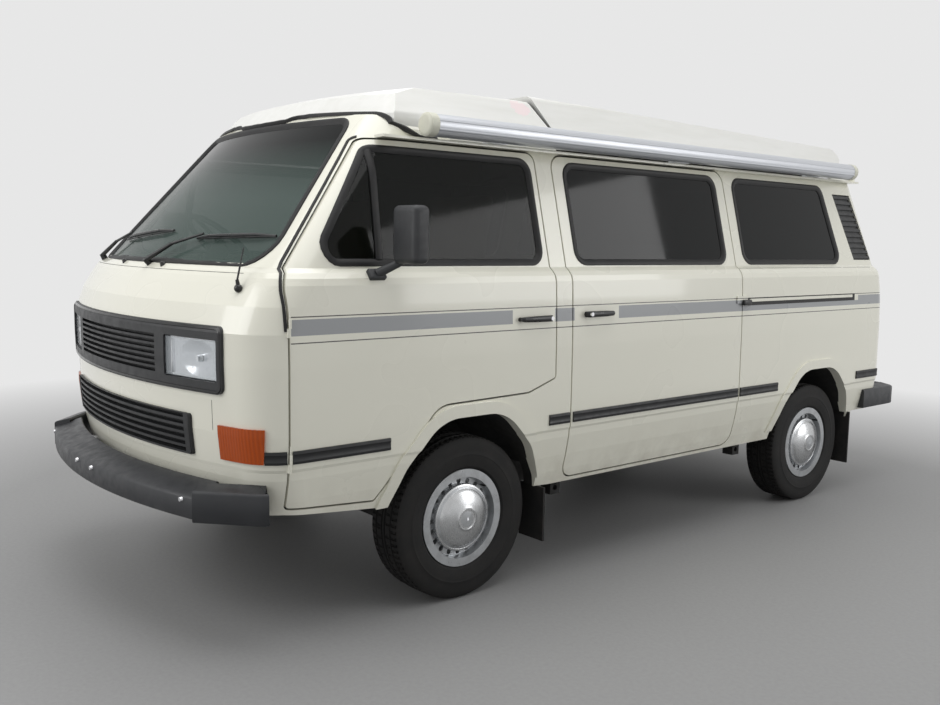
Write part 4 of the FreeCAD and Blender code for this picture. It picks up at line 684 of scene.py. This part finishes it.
def makeHandle(name, projector, place, body, spread):
    spot, normal = projector[0](*place)
    along = flatAgainst(spread, normal).normalized()
    up = normal.cross(along).normalized()
    if up.z < 0:
        up = -up
    bm = bmesh.new()
    half, tall = handle["length"] / 2, handle["tall"] / 2
    sections = []
    for reach, out, share in handle["grip"]:
        centre = spot + along * (half * reach)
        ring = []
        for k in range(12):
            angle = math.tau * k / 12
            ring.append(bm.verts.new(centre + up * tall * share * math.cos(angle)
                                     + normal * (out + handle["thick"] * math.sin(angle))))
        sections.append([bm.edges.new((ring[k], ring[(k + 1) % 12])) for k in range(12)])
    for one, two in zip(sections, sections[1:]):
        bmesh.ops.bridge_loops(bm, edges=one + two)
    bmesh.ops.holes_fill(bm, edges=[e for e in bm.edges if len(e.link_faces) == 1], sides=0)
    for foot in handle["feet"]:
        base = spot + along * (half * foot)
        rodBetween(bm, base - normal * 0.003, base + normal * 0.018, tall * 0.72)
    toObject(bm, name, "enamel", body)
    bm = bmesh.new()
    base = spot + along * half * handle["button"]
    rodBetween(bm, base + normal * 0.026, base + normal * 0.0355, 0.0085, segments=20)
    toObject(bm, name + "_button", "chrome", body)


def makeHandles():
    rearward = Vector((0, 1, 0))
    for side, sign in sides:
        makeHandle("handle_cab_" + side, onSide(sign), handle["cab"], "cab_door_" + side, rearward)
    makeHandle("handle_slide", onSide(1), handle["slide"], "root", -rearward)
    makeHandle("handle_gate", onEnd(1), handle["gate"], "tailgate", Vector((1, 0, 0)))


rail = {"start": 1.760, "end": 2.800, "height": 1.131, "coverHeight": 1.137, "block": (1.742, 1.128),
        "shadow": [(-0.019, -0.001), (-0.019, 0.0008), (0.019, 0.0008), (0.019, -0.001)],
        "cover": [(-0.008, 0.000), (-0.007, 0.004), (0.007, 0.004), (0.0085, 0.000)]}


def slideRail():
    start, end = rail["start"], rail["end"]
    line = lineOn(onSide(1), (start, rail["height"]), (end, rail["height"]), (0, 1))
    sweep("rail_shadow", line, rail["shadow"])
    line = lineOn(onSide(1), (start + 0.01, rail["coverHeight"]), (end - 0.03, rail["coverHeight"]), (0, 1))
    sweep("rail_cover", line, rail["cover"], material="paint")
    bm = bmesh.new()
    spot, _ = onSide(1)[0](*rail["block"])
    roundedBox(bm, spot + Vector((-0.004, -0.030, -0.014)), spot + Vector((0.016, 0.034, 0.014)), 0.006)
    toObject(bm, "rail_block", "enamel")


# Aerial, washer jets and wipers
aerial = {"foot": (0.742, -0.880), "height": 1.234, "tip": (0.744, -0.864, 1.372), "ball": 0.0145}


def makeAerial():
    x, a = aerial["foot"]
    spot, normal = hitSkin((x, frontY + a - 0.5, aerial["height"]), (0, 1, 0), skin)
    bm = bmesh.new()
    ball = bmesh.ops.create_uvsphere(bm, u_segments=24, v_segments=14, radius=aerial["ball"])["verts"]
    bmesh.ops.translate(bm, vec=spot + normal * 0.006, verts=ball)
    rodBetween(bm, spot + normal * 0.004, spot + normal * 0.012 + Vector((0, 0, 0.026)), 0.0085, 0.006)
    toObject(bm, "aerial_foot", "gloss")
    bm = bmesh.new()
    tipX, tipA, tipZ = aerial["tip"]
    tip = Vector((tipX, frontY + tipA, tipZ))
    foot = spot + normal * 0.012 + Vector((0, 0, 0.022))
    joint = foot.lerp(tip, 0.55)
    rodBetween(bm, foot, joint, 0.0034)
    rodBetween(bm, joint, tip, 0.0022)
    toObject(bm, "aerial_mast", "enamel")


wipers = [{"pivot": (0.097, 1.303), "tip": (0.339, 1.403), "blade": ((0.292, 1.396), (0.700, 1.408))},
          {"pivot": (-0.687, 1.300), "tip": (-0.413, 1.408), "blade": ((-0.485, 1.384), (0.060, 1.424))}]
jets = ((-0.177, 1.303), (0.211, 1.302))


def screenSpot(x, z, lift=0.0):
    place, normal = onEnd(-1, screenTree)[0](x, z)
    return place + normal * lift, normal


def makeWipers():
    bm = bmesh.new()
    count = 10
    for wiper in wipers:
        px, pz = wiper["pivot"]
        tipX, tipZ = wiper["tip"]
        pivot, normal = screenSpot(px, pz)
        rodBetween(bm, pivot - normal * 0.004, pivot + normal * 0.026, 0.014, 0.012, 20)
        tip, _ = screenSpot(tipX, tipZ, 0.022)
        bend, _ = screenSpot(px + (tipX - px) * 0.42, pz + (tipZ - pz) * 0.55, 0.030)
        rodBetween(bm, pivot + normal * 0.020, bend, 0.0095, 0.0070)
        rodBetween(bm, bend, tip, 0.0060, 0.0042)
        (x0, z0), (x1, z1) = wiper["blade"]
        places = [(x0 + (x1 - x0) * k / count, z0 + (z1 - z0) * k / count) for k in range(count + 1)]
        low, high = ([screenSpot(x, z, lift)[0] for x, z in places] for lift in (0.0075, 0.018))
        for k in range(count):
            rodBetween(bm, low[k], low[k + 1], 0.0050, segments=6)
        for k in range(2, count - 2):
            rodBetween(bm, high[k], high[k + 1], 0.0055, segments=6)
        for a, b in ((low[0], high[2]), (low[-1], high[-3]), (low[3], high[4]), (low[-4], high[-5])):
            rodBetween(bm, a, b, 0.0038, 0.0050, 6)
    toObject(bm, "wiper_arms", "enamel", replaces=["wipers"])
    bm = bmesh.new()
    for x, z in jets:
        spot, normal = screenSpot(x, z)
        coneAlong(bm, spot + normal * 0.005, normal, 0.015, 0.006, 0.014)
    toObject(bm, "washer_jets", "enamel")


# Roof: the cap's seal and the awning's ends
seal = {"reach": 0.728, "count": 60, "search": (-0.60, 0.1), "step": 0.002, "ahead": 0.003,
        "on": ((0.016, 0.050), (0.032, 0.110), (0.048, 0.175)),  # steps along the cap's foot to the awning
        "profile": [(-0.004, -0.002), (-0.004, 0.012), (0.004, 0.012), (0.012, 0.004), (0.014, -0.002)]}


def roofSpot(x, y, tree=roofTree):
    place, normal, _, _ = tree.ray_cast(Vector((x, y, 3.0)), Vector((0, 0, -1)))
    return place, normal


def capSeal():
    stations = []
    forward = Vector((0, -1, 0))
    for k in range(seal["count"] + 1):
        x = seal["reach"] * math.sin((k / seal["count"] - 0.5) * math.pi)
        y = frontY + seal["search"][0]
        while y < frontY + seal["search"][1]:
            top, cap = roofSpot(x, y)[0], roofSpot(x, y, capTree)[0]
            if cap is not None and top is not None and cap.z > top.z:
                break
            y += seal["step"]
        spot, normal = roofSpot(x, y - seal["ahead"])
        if spot is not None:
            stations.append((spot, flatAgainst(forward, normal), normal))
    for sign in (1, -1):
        last = stations[-1 if sign > 0 else 0][0]
        away = Vector((sign * 0.9, -0.35, 0)).normalized()
        ends = []
        for dx, dy in seal["on"]:
            spot, normal = roofSpot(last.x + sign * dx, last.y + dy)
            if spot is not None:
                ends.append((spot, flatAgainst(away, normal).normalized(), normal))
        stations = stations + ends if sign > 0 else ends[::-1] + stations
    sweep("cap_seal", stations, seal["profile"])


awningCase = {"x": 0.840, "z": 1.828, "radius": 0.042, "front": -0.180, "rear": 2.820, "cap": 0.030,
              "ribs": ((205, 0.004), (335, 0.005), (20, 0.003)), "ribRadius": 0.041}


def awningDetails():
    bm = bmesh.new()
    r, cap = awningCase["radius"], awningCase["cap"]
    for a, way in ((awningCase["front"], -1), (awningCase["rear"], 1)):
        centre = Vector((awningCase["x"], frontY + a, awningCase["z"]))
        profile = [(-cap, r + 0.0004), (-cap, r + 0.0018), (0.004, r + 0.0018), (0.009, r - 0.003),
                   (0.011, r - 0.012), (0.011, 0.0)]
        spun(bm, [(out * way, size) for out, size in profile], centre, (0, 1, 0), 48)
    toObject(bm, "awning_ends", "cream")
    bm = bmesh.new()
    y0, y1 = frontY + awningCase["front"] + cap, frontY + awningCase["rear"] - cap
    for angle, size in awningCase["ribs"]:
        turn, out = math.radians(angle), awningCase["ribRadius"]
        spot = Vector((awningCase["x"] + math.cos(turn) * out, 0, awningCase["z"] + math.sin(turn) * out))
        rodBetween(bm, spot + Vector((0, y0, 0)), spot + Vector((0, y1, 0)), size, segments=8)
    toObject(bm, "awning_ribs", "alloy")


# Lamps and grille trim
lampFrame = {"x": (0.450, 0.724), "z": (0.926, 1.062), "lens": 0.0270, "wall": 0.003, "reflector": 0.0170,
             "dish": 0.0150, "bulb": 0.60, "shield": 0.11}


def lampSpot(sign, across, z):
    x0, x1 = lampFrame["x"]
    return onEnd(-1)[0](sign * (x0 + across * (x1 - x0)), z)[0]


def lampPiece(name, sign, lift, material, dish=0.0, replaces=None):
    z0, z1 = lampFrame["z"]
    bm = bmesh.new()
    for v in bmesh.ops.create_grid(bm, x_segments=40, y_segments=20, size=0.5)["verts"]:
        u, w = v.co.x, v.co.y
        hollow = min(1.0, ((u - 0.10) / 0.34) ** 2 + (w / 0.46) ** 2) if u > -0.30 else 1.0
        out = lift - dish * (1.0 - hollow)
        v.co = lampSpot(sign, u + 0.5, z0 + (w + 0.5) * (z1 - z0)) + Vector((0, -1, 0)) * out
    made = toObject(bm, name, material, replaces=replaces, recalc=False)
    if any(face.normal.y > 0 for face in made.data.polygons):
        made.data.flip_normals()
    return made


def headlampParts():
    z = sum(lampFrame["z"]) / 2
    for side, sign in sides:
        lens = lampPiece("lamp_lens_" + side, sign, lampFrame["lens"], "lens",
                         replaces=["headlamps"] if sign > 0 else None)
        wall = lens.modifiers.new("wall", "SOLIDIFY")
        wall.thickness, wall.offset = lampFrame["wall"], -1
        lampPiece("reflector_" + side, sign, lampFrame["reflector"], "reflector",
                  lampFrame["dish"])
        bm = bmesh.new()
        spot = lampSpot(sign, lampFrame["bulb"], z)
        rodBetween(bm, spot + Vector((0, -0.002, 0)), spot + Vector((0, -0.018, 0)), 0.013, 0.011, 24)
        spot = lampSpot(sign, lampFrame["shield"], z)
        low, high = Vector((-0.0022, -0.0245, -0.060)), Vector((0.0022, -0.012, 0.060))
        roundedBox(bm, spot + low, spot + high, 0.001)
        toObject(bm, "lamp_shield_" + side, "chrome")


bead = {"rings": (("grille_bead", 0.752, 0.882, 1.112, 0.028),
                  ("low_grille_bead", 0.580, 0.654, 0.801, 0.012)),
        "inset": -0.008,
        "profile": [(-0.006, -0.001), (-0.004, 0.003), (0.003, 0.003), (0.006, -0.001), (0.004, -0.005)]}


def grilleTrim():
    place = onEnd(-1, skinTree(["grilles", "nose_panel"]))
    for name, half, low, high, radius in bead["rings"]:
        outline = [(-half, low), (-half, high), (half, high), (half, low)]
        ringOn(name, place, outline, radius, bead, material="gloss")


# Door mirrors
mirror = {"x": (0.945, 1.085), "y": (-0.408, -0.338), "z": (1.325, 1.525), "foot": (-0.440, 1.282),
          "glass": 0.0006, "sunk": 0.003, "rim": 0.020}


def mirrors():
    z0, z1 = mirror["z"]
    y0, y1 = (frontY + y for y in mirror["y"])
    inner, rim = mirror["x"][0], mirror["rim"]
    for side, sign in sides:
        x0, x1 = sorted(sign * x for x in mirror["x"])
        body = "cab_door_" + side
        bm = bmesh.new()
        spot, normal = onSide(sign)[0](*mirror["foot"])
        roundedBox(bm, (-0.034, -0.021, -0.006), (0.034, 0.021, 0.016), 0.006)
        up = flatAgainst(Vector((0, 0, 1)), normal).normalized()
        axes = Matrix((up.cross(normal), up, normal)).transposed()
        bmesh.ops.rotate(bm, cent=(0, 0, 0), matrix=axes, verts=bm.verts)
        bmesh.ops.translate(bm, vec=spot, verts=bm.verts)
        roundedBox(bm, (x0, y0, z0), (x1, y1, z1), 0.022, 6)
        elbow = Vector((sign * (inner + 0.012), (y0 + y1) / 2, z0 + 0.004))
        rodBetween(bm, spot + normal * 0.010, elbow, 0.017, 0.013, 20)
        rodBetween(bm, elbow, Vector((sign * (inner + 0.055), (y0 + y1) / 2, z0 + 0.030)), 0.013, 0.015, 20)
        toObject(bm, "mirror_head_" + side, "black", body, ["mirror_" + side])
        bm = bmesh.new()
        roundedBox(bm, (x0 + rim, y1 - mirror["sunk"], z0 + rim),
                   (x1 - rim, y1 + mirror["glass"], z1 - rim), 0.0003)
        toObject(bm, "mirror_glass_" + side, "mirror", body)


# Cab window divider
divider = {"foot": (-0.400, 1.335), "top": (-0.372, 1.728),
           "profile": [(-0.014, -0.010), (-0.014, 0.006), (-0.010, 0.009), (0.010, 0.009), (0.014, 0.006),
                       (0.014, -0.010)]}


def quarterlight():
    for side, sign in sides:
        line = lineOn(onSide(sign, skinTree(["cab_glass_" + side])), divider["foot"], divider["top"], (1, 0))
        sweep("quarterlight_" + side, line, divider["profile"], "cab_door_" + side)


# Bumpers: a bar with a sloping top, wrapped end caps and stays
bumperSize = {
    "front": {"way": -1, "face": -1.168, "corner": (0.745, -1.058), "turn": (0.930, -0.885), "past": 0.010,
              "end": -0.872, "low": 0.474, "top": 0.583, "stay": 0.36},
    "rear": {"way": 1, "face": 3.402, "corner": (0.745, 3.372), "turn": (0.930, 3.300), "past": -0.030,
             "end": 2.960, "low": 0.486, "top": 0.595, "stay": 0.62},
    "depth": 0.115, "slope": 0.036, "capDrop": 0.010, "capRise": 0.003, "stayX": 0.36, "stayHalf": 0.03,
    "studs": (-0.081, 0.081, -0.690, 0.690), "studHeight": 0.536, "studBow": 2.53,
}


def planStations(points):
    stations = []
    for i, point in enumerate(points):
        before = points[max(i - 1, 0)]
        after = points[min(i + 1, len(points) - 1)]
        one = (point - before).normalized() if i else (after - point).normalized()
        two = (after - point).normalized() if i < len(points) - 1 else one
        along = (one + two).normalized()
        inward = Vector((-along.y, along.x, 0)) / max(0.6, along.dot(one))
        stations.append((point, inward, Vector((0, 0, 1))))
    return stations


def bumperProfile(low, top, depth, slope):
    edge = top - slope
    return [(0.004, low), (0.0, low + 0.006), (0.0, edge - 0.004), (0.003, edge + 0.002),
            (0.010, edge + 0.006), (depth - 0.014, top - 0.002), (depth - 0.006, top), (depth, top - 0.006),
            (depth, low + 0.004), (depth - 0.004, low)]


def bumperBar(end, size):
    way, low = size["way"], size["low"]
    cornerX, cornerY = size["corner"]
    bow = abs(size["face"] - cornerY)
    radius = (cornerX ** 2 + bow ** 2) / (2 * bow)
    arc = []
    for k in range(33):
        x = cornerX * (k / 16 - 1)
        arc.append(Vector((x, frontY + size["face"] - way * (radius - math.sqrt(radius ** 2 - x ** 2)), 0)))
    bm = bmesh.new()
    profile = bumperProfile(low, size["top"], bumperSize["depth"], bumperSize["slope"])
    sweepInto(bm, planStations(arc if way < 0 else arc[::-1]), profile, False)
    near, far = sorted((frontY + size["face"] - way * 0.05, frontY + size["face"] - way * size["stay"]))
    half = bumperSize["stayHalf"]
    for sign in (1, -1):
        x = sign * bumperSize["stayX"]
        roundedBox(bm, (x - half, near, low + 0.016), (x + half, far, low + 0.076), 0.004)
    toObject(bm, "bumper_bar_" + end, "bumper", replaces=[end + "_bumper"])


def bumperCaps(end, size):
    way = size["way"]
    cornerX, cornerY = size["corner"]
    turnX, turnY = size["turn"]
    profile = bumperProfile(size["low"] - bumperSize["capDrop"], size["top"] + bumperSize["capRise"],
                            bumperSize["depth"] * 0.62, bumperSize["slope"] * 0.55)
    plan = [(cornerX, cornerY), ((cornerX + turnX) / 2, (cornerY + turnY) / 2),
            (turnX - 0.022, turnY + way * 0.021), (turnX - 0.004, turnY), (turnX, turnY + size["past"]),
            (turnX, size["end"])]
    bm = bmesh.new()
    for sign in (1, -1):
        path = [Vector((sign * x, frontY + y + way * 0.002, 0)) for x, y in plan]
        sweepInto(bm, planStations(path[::-1] if sign * way > 0 else path), profile, False)
    toObject(bm, "bumper_caps_" + end, "bumper")


def makeBumpers():
    for end in ("front", "rear"):
        bumperBar(end, bumperSize[end])
        bumperCaps(end, bumperSize[end])
    bm = bmesh.new()
    radius = bumperSize["studBow"]
    for x in bumperSize["studs"]:
        sag = radius - math.sqrt(radius ** 2 - x ** 2)
        spot = Vector((x, frontY + bumperSize["front"]["face"] + sag, bumperSize["studHeight"]))
        rodBetween(bm, spot + Vector((0, 0.001, 0)), spot + Vector((0, -0.008, 0)), 0.0095, 0.0080, 20)
    toObject(bm, "bumper_studs", "chrome")


# Rubber on the screen pillars, panel seams and the gasket ahead of the lid
seams = {
    "pillar": {"low": 1.10, "rear": -0.372, "out": 0.013,
               "profile": [(-0.006, -0.001), (-0.005, 0.0035), (0.005, 0.0035), (0.006, -0.001)]},
    "profile": [(-0.0010, -0.0008), (-0.0010, 0.0003), (0.0010, 0.0003), (0.0010, -0.0008)],
    "nose": (0.686, 0.756, 0.859), "cowl": (0.715, 1.286),
    "belt": {"left": 1.730, "right": 0.452, "break": (2.700, 2.720), "end": 3.020, "height": 1.296},
    "gasket": {"y": 0.506, "slope": 0.44, "top": 1.996, "radius": 0.0055,
               "points": [(0.731, 1.846), (0.731, 1.872), (0.637, 1.990)]},
}


def panelSeams():
    part, belt = seams["pillar"], seams["belt"]
    for side, sign in sides:
        loop = roundedLoop(doors["cab"], doors["cabRadii"])
        line = [(p, n) for p, n in loop if p.y > part["low"] and p.x < part["rear"]]
        sweep("pillar_rubber_" + side, stationsOn(onSide(sign), line, part["out"]), part["profile"])
        x, z0, z1 = seams["nose"]
        line = lineOn(onEnd(-1), (sign * x, z0), (sign * x, z1), (1, 0))
        sweep("nose_seam_" + side, line, seams["profile"])
        for k, (a, b) in enumerate(((belt[side], belt["break"][0]), (belt["break"][1], belt["end"]))):
            line = lineOn(onSide(sign), (a, belt["height"]), (b, belt["height"]), (0, 1))
            sweep("belt_seam_%s_%d" % (side, k), line, seams["profile"])
    x, z = seams["cowl"]
    sweep("cowl_seam", lineOn(onEnd(-1), (-x, z), (x, z), (0, 1)), seams["profile"])


def lidGasket():
    part = seams["gasket"]
    half = part["points"] + [(0.0, part["top"] - 0.006)]
    places = half + [(-x, z) for x, z in reversed(half[:-1])]
    spots = [Vector((x, frontY + part["y"] + (part["top"] - z) * part["slope"], z)) for x, z in places]
    bm = bmesh.new()
    for a, b in zip(spots, spots[1:]):
        rodBetween(bm, a, b, part["radius"], segments=10)
    toObject(bm, "lid_gasket", "seal")


# Padded seats: a smaller block swollen by the cloth solver under gentle pressure
seats = {
    "x": 0.409, "back": 0.291, "floor": 0.790, "width": 0.480, "voxel": 0.010, "pressure": 4.0, "frames": 20,
    "cap": 0.018, "bench": (-0.298, 0.800), "benchRear": 2.068, "benchFloor": 0.910, "benchDepth": 0.520,
    "fill": 0.6, "headFill": 0.7,
}


def applied(piece):
    bpy.context.view_layer.update()
    graph = bpy.context.evaluated_depsgraph_get()
    mesh = bpy.data.meshes.new_from_object(piece.evaluated_get(graph), depsgraph=graph)
    old = piece.data
    piece.modifiers.clear()
    piece.data = mesh
    bpy.data.meshes.remove(old)


def swell(piece):
    before = [v.co.copy() for v in piece.data.vertices]
    cloth = piece.modifiers.new("stuffing", "CLOTH")
    cloth.settings.use_pressure = True
    cloth.settings.uniform_pressure_force = seats["pressure"]
    cloth.settings.effector_weights.gravity = 0
    for frameNumber in range(1, seats["frames"] + 1):
        bpy.context.scene.frame_set(frameNumber)
    applied(piece)
    bpy.context.scene.frame_set(1)
    for v, start in zip(piece.data.vertices, before):
        move = v.co - start
        if move.length > seats["cap"]:
            v.co = start + move.normalized() * seats["cap"]


def padded(name, build, replaces=None):
    bm = bmesh.new()
    build(bm)
    piece = newObject(bm, name)
    fine = piece.modifiers.new("fine", "REMESH")
    fine.mode, fine.voxel_size = "VOXEL", seats["voxel"]
    applied(piece)
    swell(piece)
    smooth = piece.modifiers.new("rounding", "SUBSURF")
    smooth.levels = smooth.render_levels = 1
    piece.data.materials.clear()
    piece.data.materials.append(m["cloth"])
    piece.data.shade_smooth()
    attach(piece, "root")
    if replaces:
        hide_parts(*replaces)


def leaningBlock(bm, x0, x1, foot, top, thick, low, high, bevel):  # its rear leans back from foot to top
    made = roundedBox(bm, (x0, 0, low), (x1, thick, high), 0)
    for v in made:
        v.co.y += foot + (top - foot) * ((v.co.z - low) / (high - low))
    rounded(bm, made, bevel, 4)


def cabSeat(side, sign):
    w, f, back = seats["width"], seats["floor"], frontY + seats["back"]
    x = sign * seats["x"]
    x0, x1 = x - w / 2 + 0.012, x + w / 2 - 0.012
    padded("seat_cushion_" + side, lambda bm: roundedBox(
        bm, (x0, back - w * 1.04, f + w * 0.36), (x1, back - w * 0.10, f + w * 0.58), 0.035, 4),
        replaces=["cab_seats"] if sign > 0 else None)
    padded("seat_back_" + side, lambda bm: leaningBlock(
        bm, x0 + 0.010, x1 - 0.010, back - w * 0.20, back, w * 0.17, f + w * 0.58, f + w * 1.72, 0.030))
    padded("seat_head_" + side, lambda bm: leaningBlock(
        bm, x - 0.125, x + 0.125, back + w * 0.02, back + w * 0.045, w * 0.13, f + w * 1.78, f + w * 2.06,
        0.028))
    bm = bmesh.new()
    roundedBox(bm, (x - w * 0.40, back - w * 0.94, f), (x + w * 0.40, back - w * 0.16, f + w * 0.355), 0.012)
    for px in (x - 0.060, x + 0.060):
        rodBetween(bm, (px, back + w * 0.085, f + w * 1.66), (px, back + w * 0.10, f + w * 1.82), 0.006)
    toObject(bm, "seat_base_" + side, "dash")


def makeSeats():
    for side, sign in sides:
        cabSeat(side, sign)
    x0, x1 = seats["bench"]
    rear, floor, depth = frontY + seats["benchRear"], seats["benchFloor"], seats["benchDepth"]
    padded("bench_cushion", lambda bm: roundedBox(
        bm, (x0 + 0.012, rear - depth * 1.04, floor + 0.008), (x1 - 0.012, rear - 0.165, 0.985), 0.032, 4),
        replaces=["rear_bench"])
    padded("bench_back", lambda bm: leaningBlock(
        bm, x0 + 0.012, x1 - 0.066, rear - 0.150, rear - 0.125, 0.100, 1.010, 1.420, 0.030))
    bm = bmesh.new()
    roundedBox(bm, (x0, rear - depth, 0.520), (x1, rear - 0.002, floor), 0.004)
    toObject(bm, "bench_box", "board")


# Pop-top canvas, folded in pleats around the hatch
canvas = {"half": 0.590, "front": 0.670, "rear": 2.730, "corner": 0.080, "base": 1.880, "top": 1.934,
          "pleats": 17, "deep": 0.058, "shallow": 0.004}


def makeCanvas():
    half, front, rear = canvas["half"], canvas["front"], canvas["rear"]
    base, top, rows = canvas["base"], canvas["top"], canvas["pleats"]
    outline = [(-half, front), (-half, rear), (half, rear), (half, front)]
    loop = roundedLoop(outline, canvas["corner"], 0.045, 5)
    bm = bmesh.new()
    rings = []
    for k in range(rows + 1):
        z = base + (top - base) * k / rows
        ring = []
        for point, outward in loop:
            share = min(1.0, max(0.0, (rear - point.y) / (rear - front)))
            depth = canvas["shallow"] + (canvas["deep"] - canvas["shallow"]) * share
            at = point - outward * (depth if k % 2 else 0.0)
            ring.append(bm.verts.new((at.x, frontY + at.y, z)))
        rings.append([bm.edges.new((ring[i], ring[(i + 1) % len(ring)])) for i in range(len(ring))])
    for low, high in zip(rings, rings[1:]):
        bmesh.ops.bridge_loops(bm, edges=low + high)
    area = sum(face.calc_area() for face in bm.faces)
    made = toObject(bm, "canvas_wall", "canvas", None, ["pop_top_canvas"], smooth=False)
    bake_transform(made)


# Studio: floor, light and camera
studio = {"floor": srgb(0.60, 0.60, 0.60), "speck": srgb(0.50, 0.50, 0.50), "fade": (2.8, 6.0),
          "radius": 40.0, "world": 0.45, "backdrop": (0.80, 0.80, 0.80, 1.0)}


def makeFloor():
    bm = bmesh.new()
    bmesh.ops.create_circle(bm, cap_ends=True, segments=96, radius=studio["radius"])
    made = newObject(bm, "studioFloor")
    f = Finish("floorPaint", studio["floor"], 0.6)
    place = f.place()
    far = f.stretch(f.vector("LENGTH", place), *studio["fade"])
    speck = f.stretch(f.noise(place, 60.0, 6.0), 0.35, 0.7, 0.0, 0.25)
    f.give(Base_Color=f.mix(speck, studio["floor"], studio["speck"]))
    glow = f.add("Emission", {"Color": studio["backdrop"], "Strength": 1.0})
    blend = f.add("MixShader", {0: f.times(far, f.seen()), 1: f.shader.outputs[0], 2: glow.outputs[0]})
    f.join(blend.outputs[0], f.tree.nodes["Material Output"].inputs["Surface"])
    made.data.materials.append(f.made)


def makeWorld():
    world = bpy.data.worlds.new("studioWorld")
    bpy.context.scene.world = world
    world.use_nodes = True
    n = Nodes(world.node_tree)
    back = n.tree.nodes["Background"]
    back.inputs["Color"].default_value = (1, 1, 1, 1)
    back.inputs["Strength"].default_value = studio["world"]
    shown = n.add("Background", {"Color": studio["backdrop"], "Strength": 1.0})
    blend = n.add("MixShader", {0: n.seen(), 1: back.outputs[0], 2: shown.outputs[0]})
    n.join(blend.outputs[0], n.tree.nodes["World Output"].inputs["Surface"])


lamps = [("overhead", (0.5, -1.0, 5.5), (0.0, 0.0, 0.8), 5.0, 150.0),
         ("frontSoft", (-0.8, -6.5, 3.4), (-0.2, -1.5, 1.0), 3.5, 120.0),
         ("sideSoft", (6.0, 4.4, 2.8), (0.8, 1.6, 1.0), 3.5, 115.0),
         ("backSoft", (-5.5, 4.5, 3.6), (0.0, 0.5, 1.2), 3.5, 60.0)]


def makeLamps():
    for name, place, target, size, power in lamps:
        light = bpy.data.lights.new(name, "AREA")
        light.shape, light.size, light.energy = "SQUARE", size, power
        made = bpy.data.objects.new(name, light)
        made.location = place
        made.rotation_euler = (Vector(target) - Vector(place)).to_track_quat("-Z", "Y").to_euler()
        bpy.context.scene.collection.objects.link(made)


cameraView = {"place": (3.679, -2.314, 1.406), "yaw": 50.29, "pitch": 6.67, "roll": -0.97, "lens": 36.42,
              "sensor": 36.0}


def makeCamera():
    data = bpy.data.cameras.new("photoCamera")
    data.sensor_width, data.lens = cameraView["sensor"], cameraView["lens"]
    made = bpy.data.objects.new("photoCamera", data)
    bpy.context.scene.collection.objects.link(made)
    yaw, pitch, roll = (math.radians(cameraView[k]) for k in ("yaw", "pitch", "roll"))
    ahead = Vector((-math.sin(yaw) * math.cos(pitch), math.cos(yaw) * math.cos(pitch), -math.sin(pitch)))
    right = Vector((math.cos(yaw), math.sin(yaw), 0))
    down = ahead.cross(right)
    turnedRight = right * math.cos(roll) + down * math.sin(roll)
    turnedDown = -right * math.sin(roll) + down * math.cos(roll)
    turn = Matrix((turnedRight, -turnedDown, -ahead)).transposed().to_4x4()
    made.matrix_world = Matrix.Translation(Vector(cameraView["place"]) + Vector((0, frontY, 0))) @ turn
    bpy.context.scene.camera = made


stages = {
    "seals": (windowRubbers, doorSeals, panelSeams), "wheels": (rubStrips, makeWheels),
    "trim": (makeHandles, slideRail, makeAerial, makeWipers, capSeal, awningDetails, headlampParts,
             grilleTrim, mirrors, quarterlight, makeBumpers, lidGasket),
    "seats": (makeSeats,), "canvas": (makeCanvas,), "studio": (makeFloor, makeWorld, makeLamps, makeCamera),
}
for stage, steps in stages.items():
    for step in steps:
        step()
    print(stage, "made")
bpy.context.scene.view_settings.view_transform = "Standard"
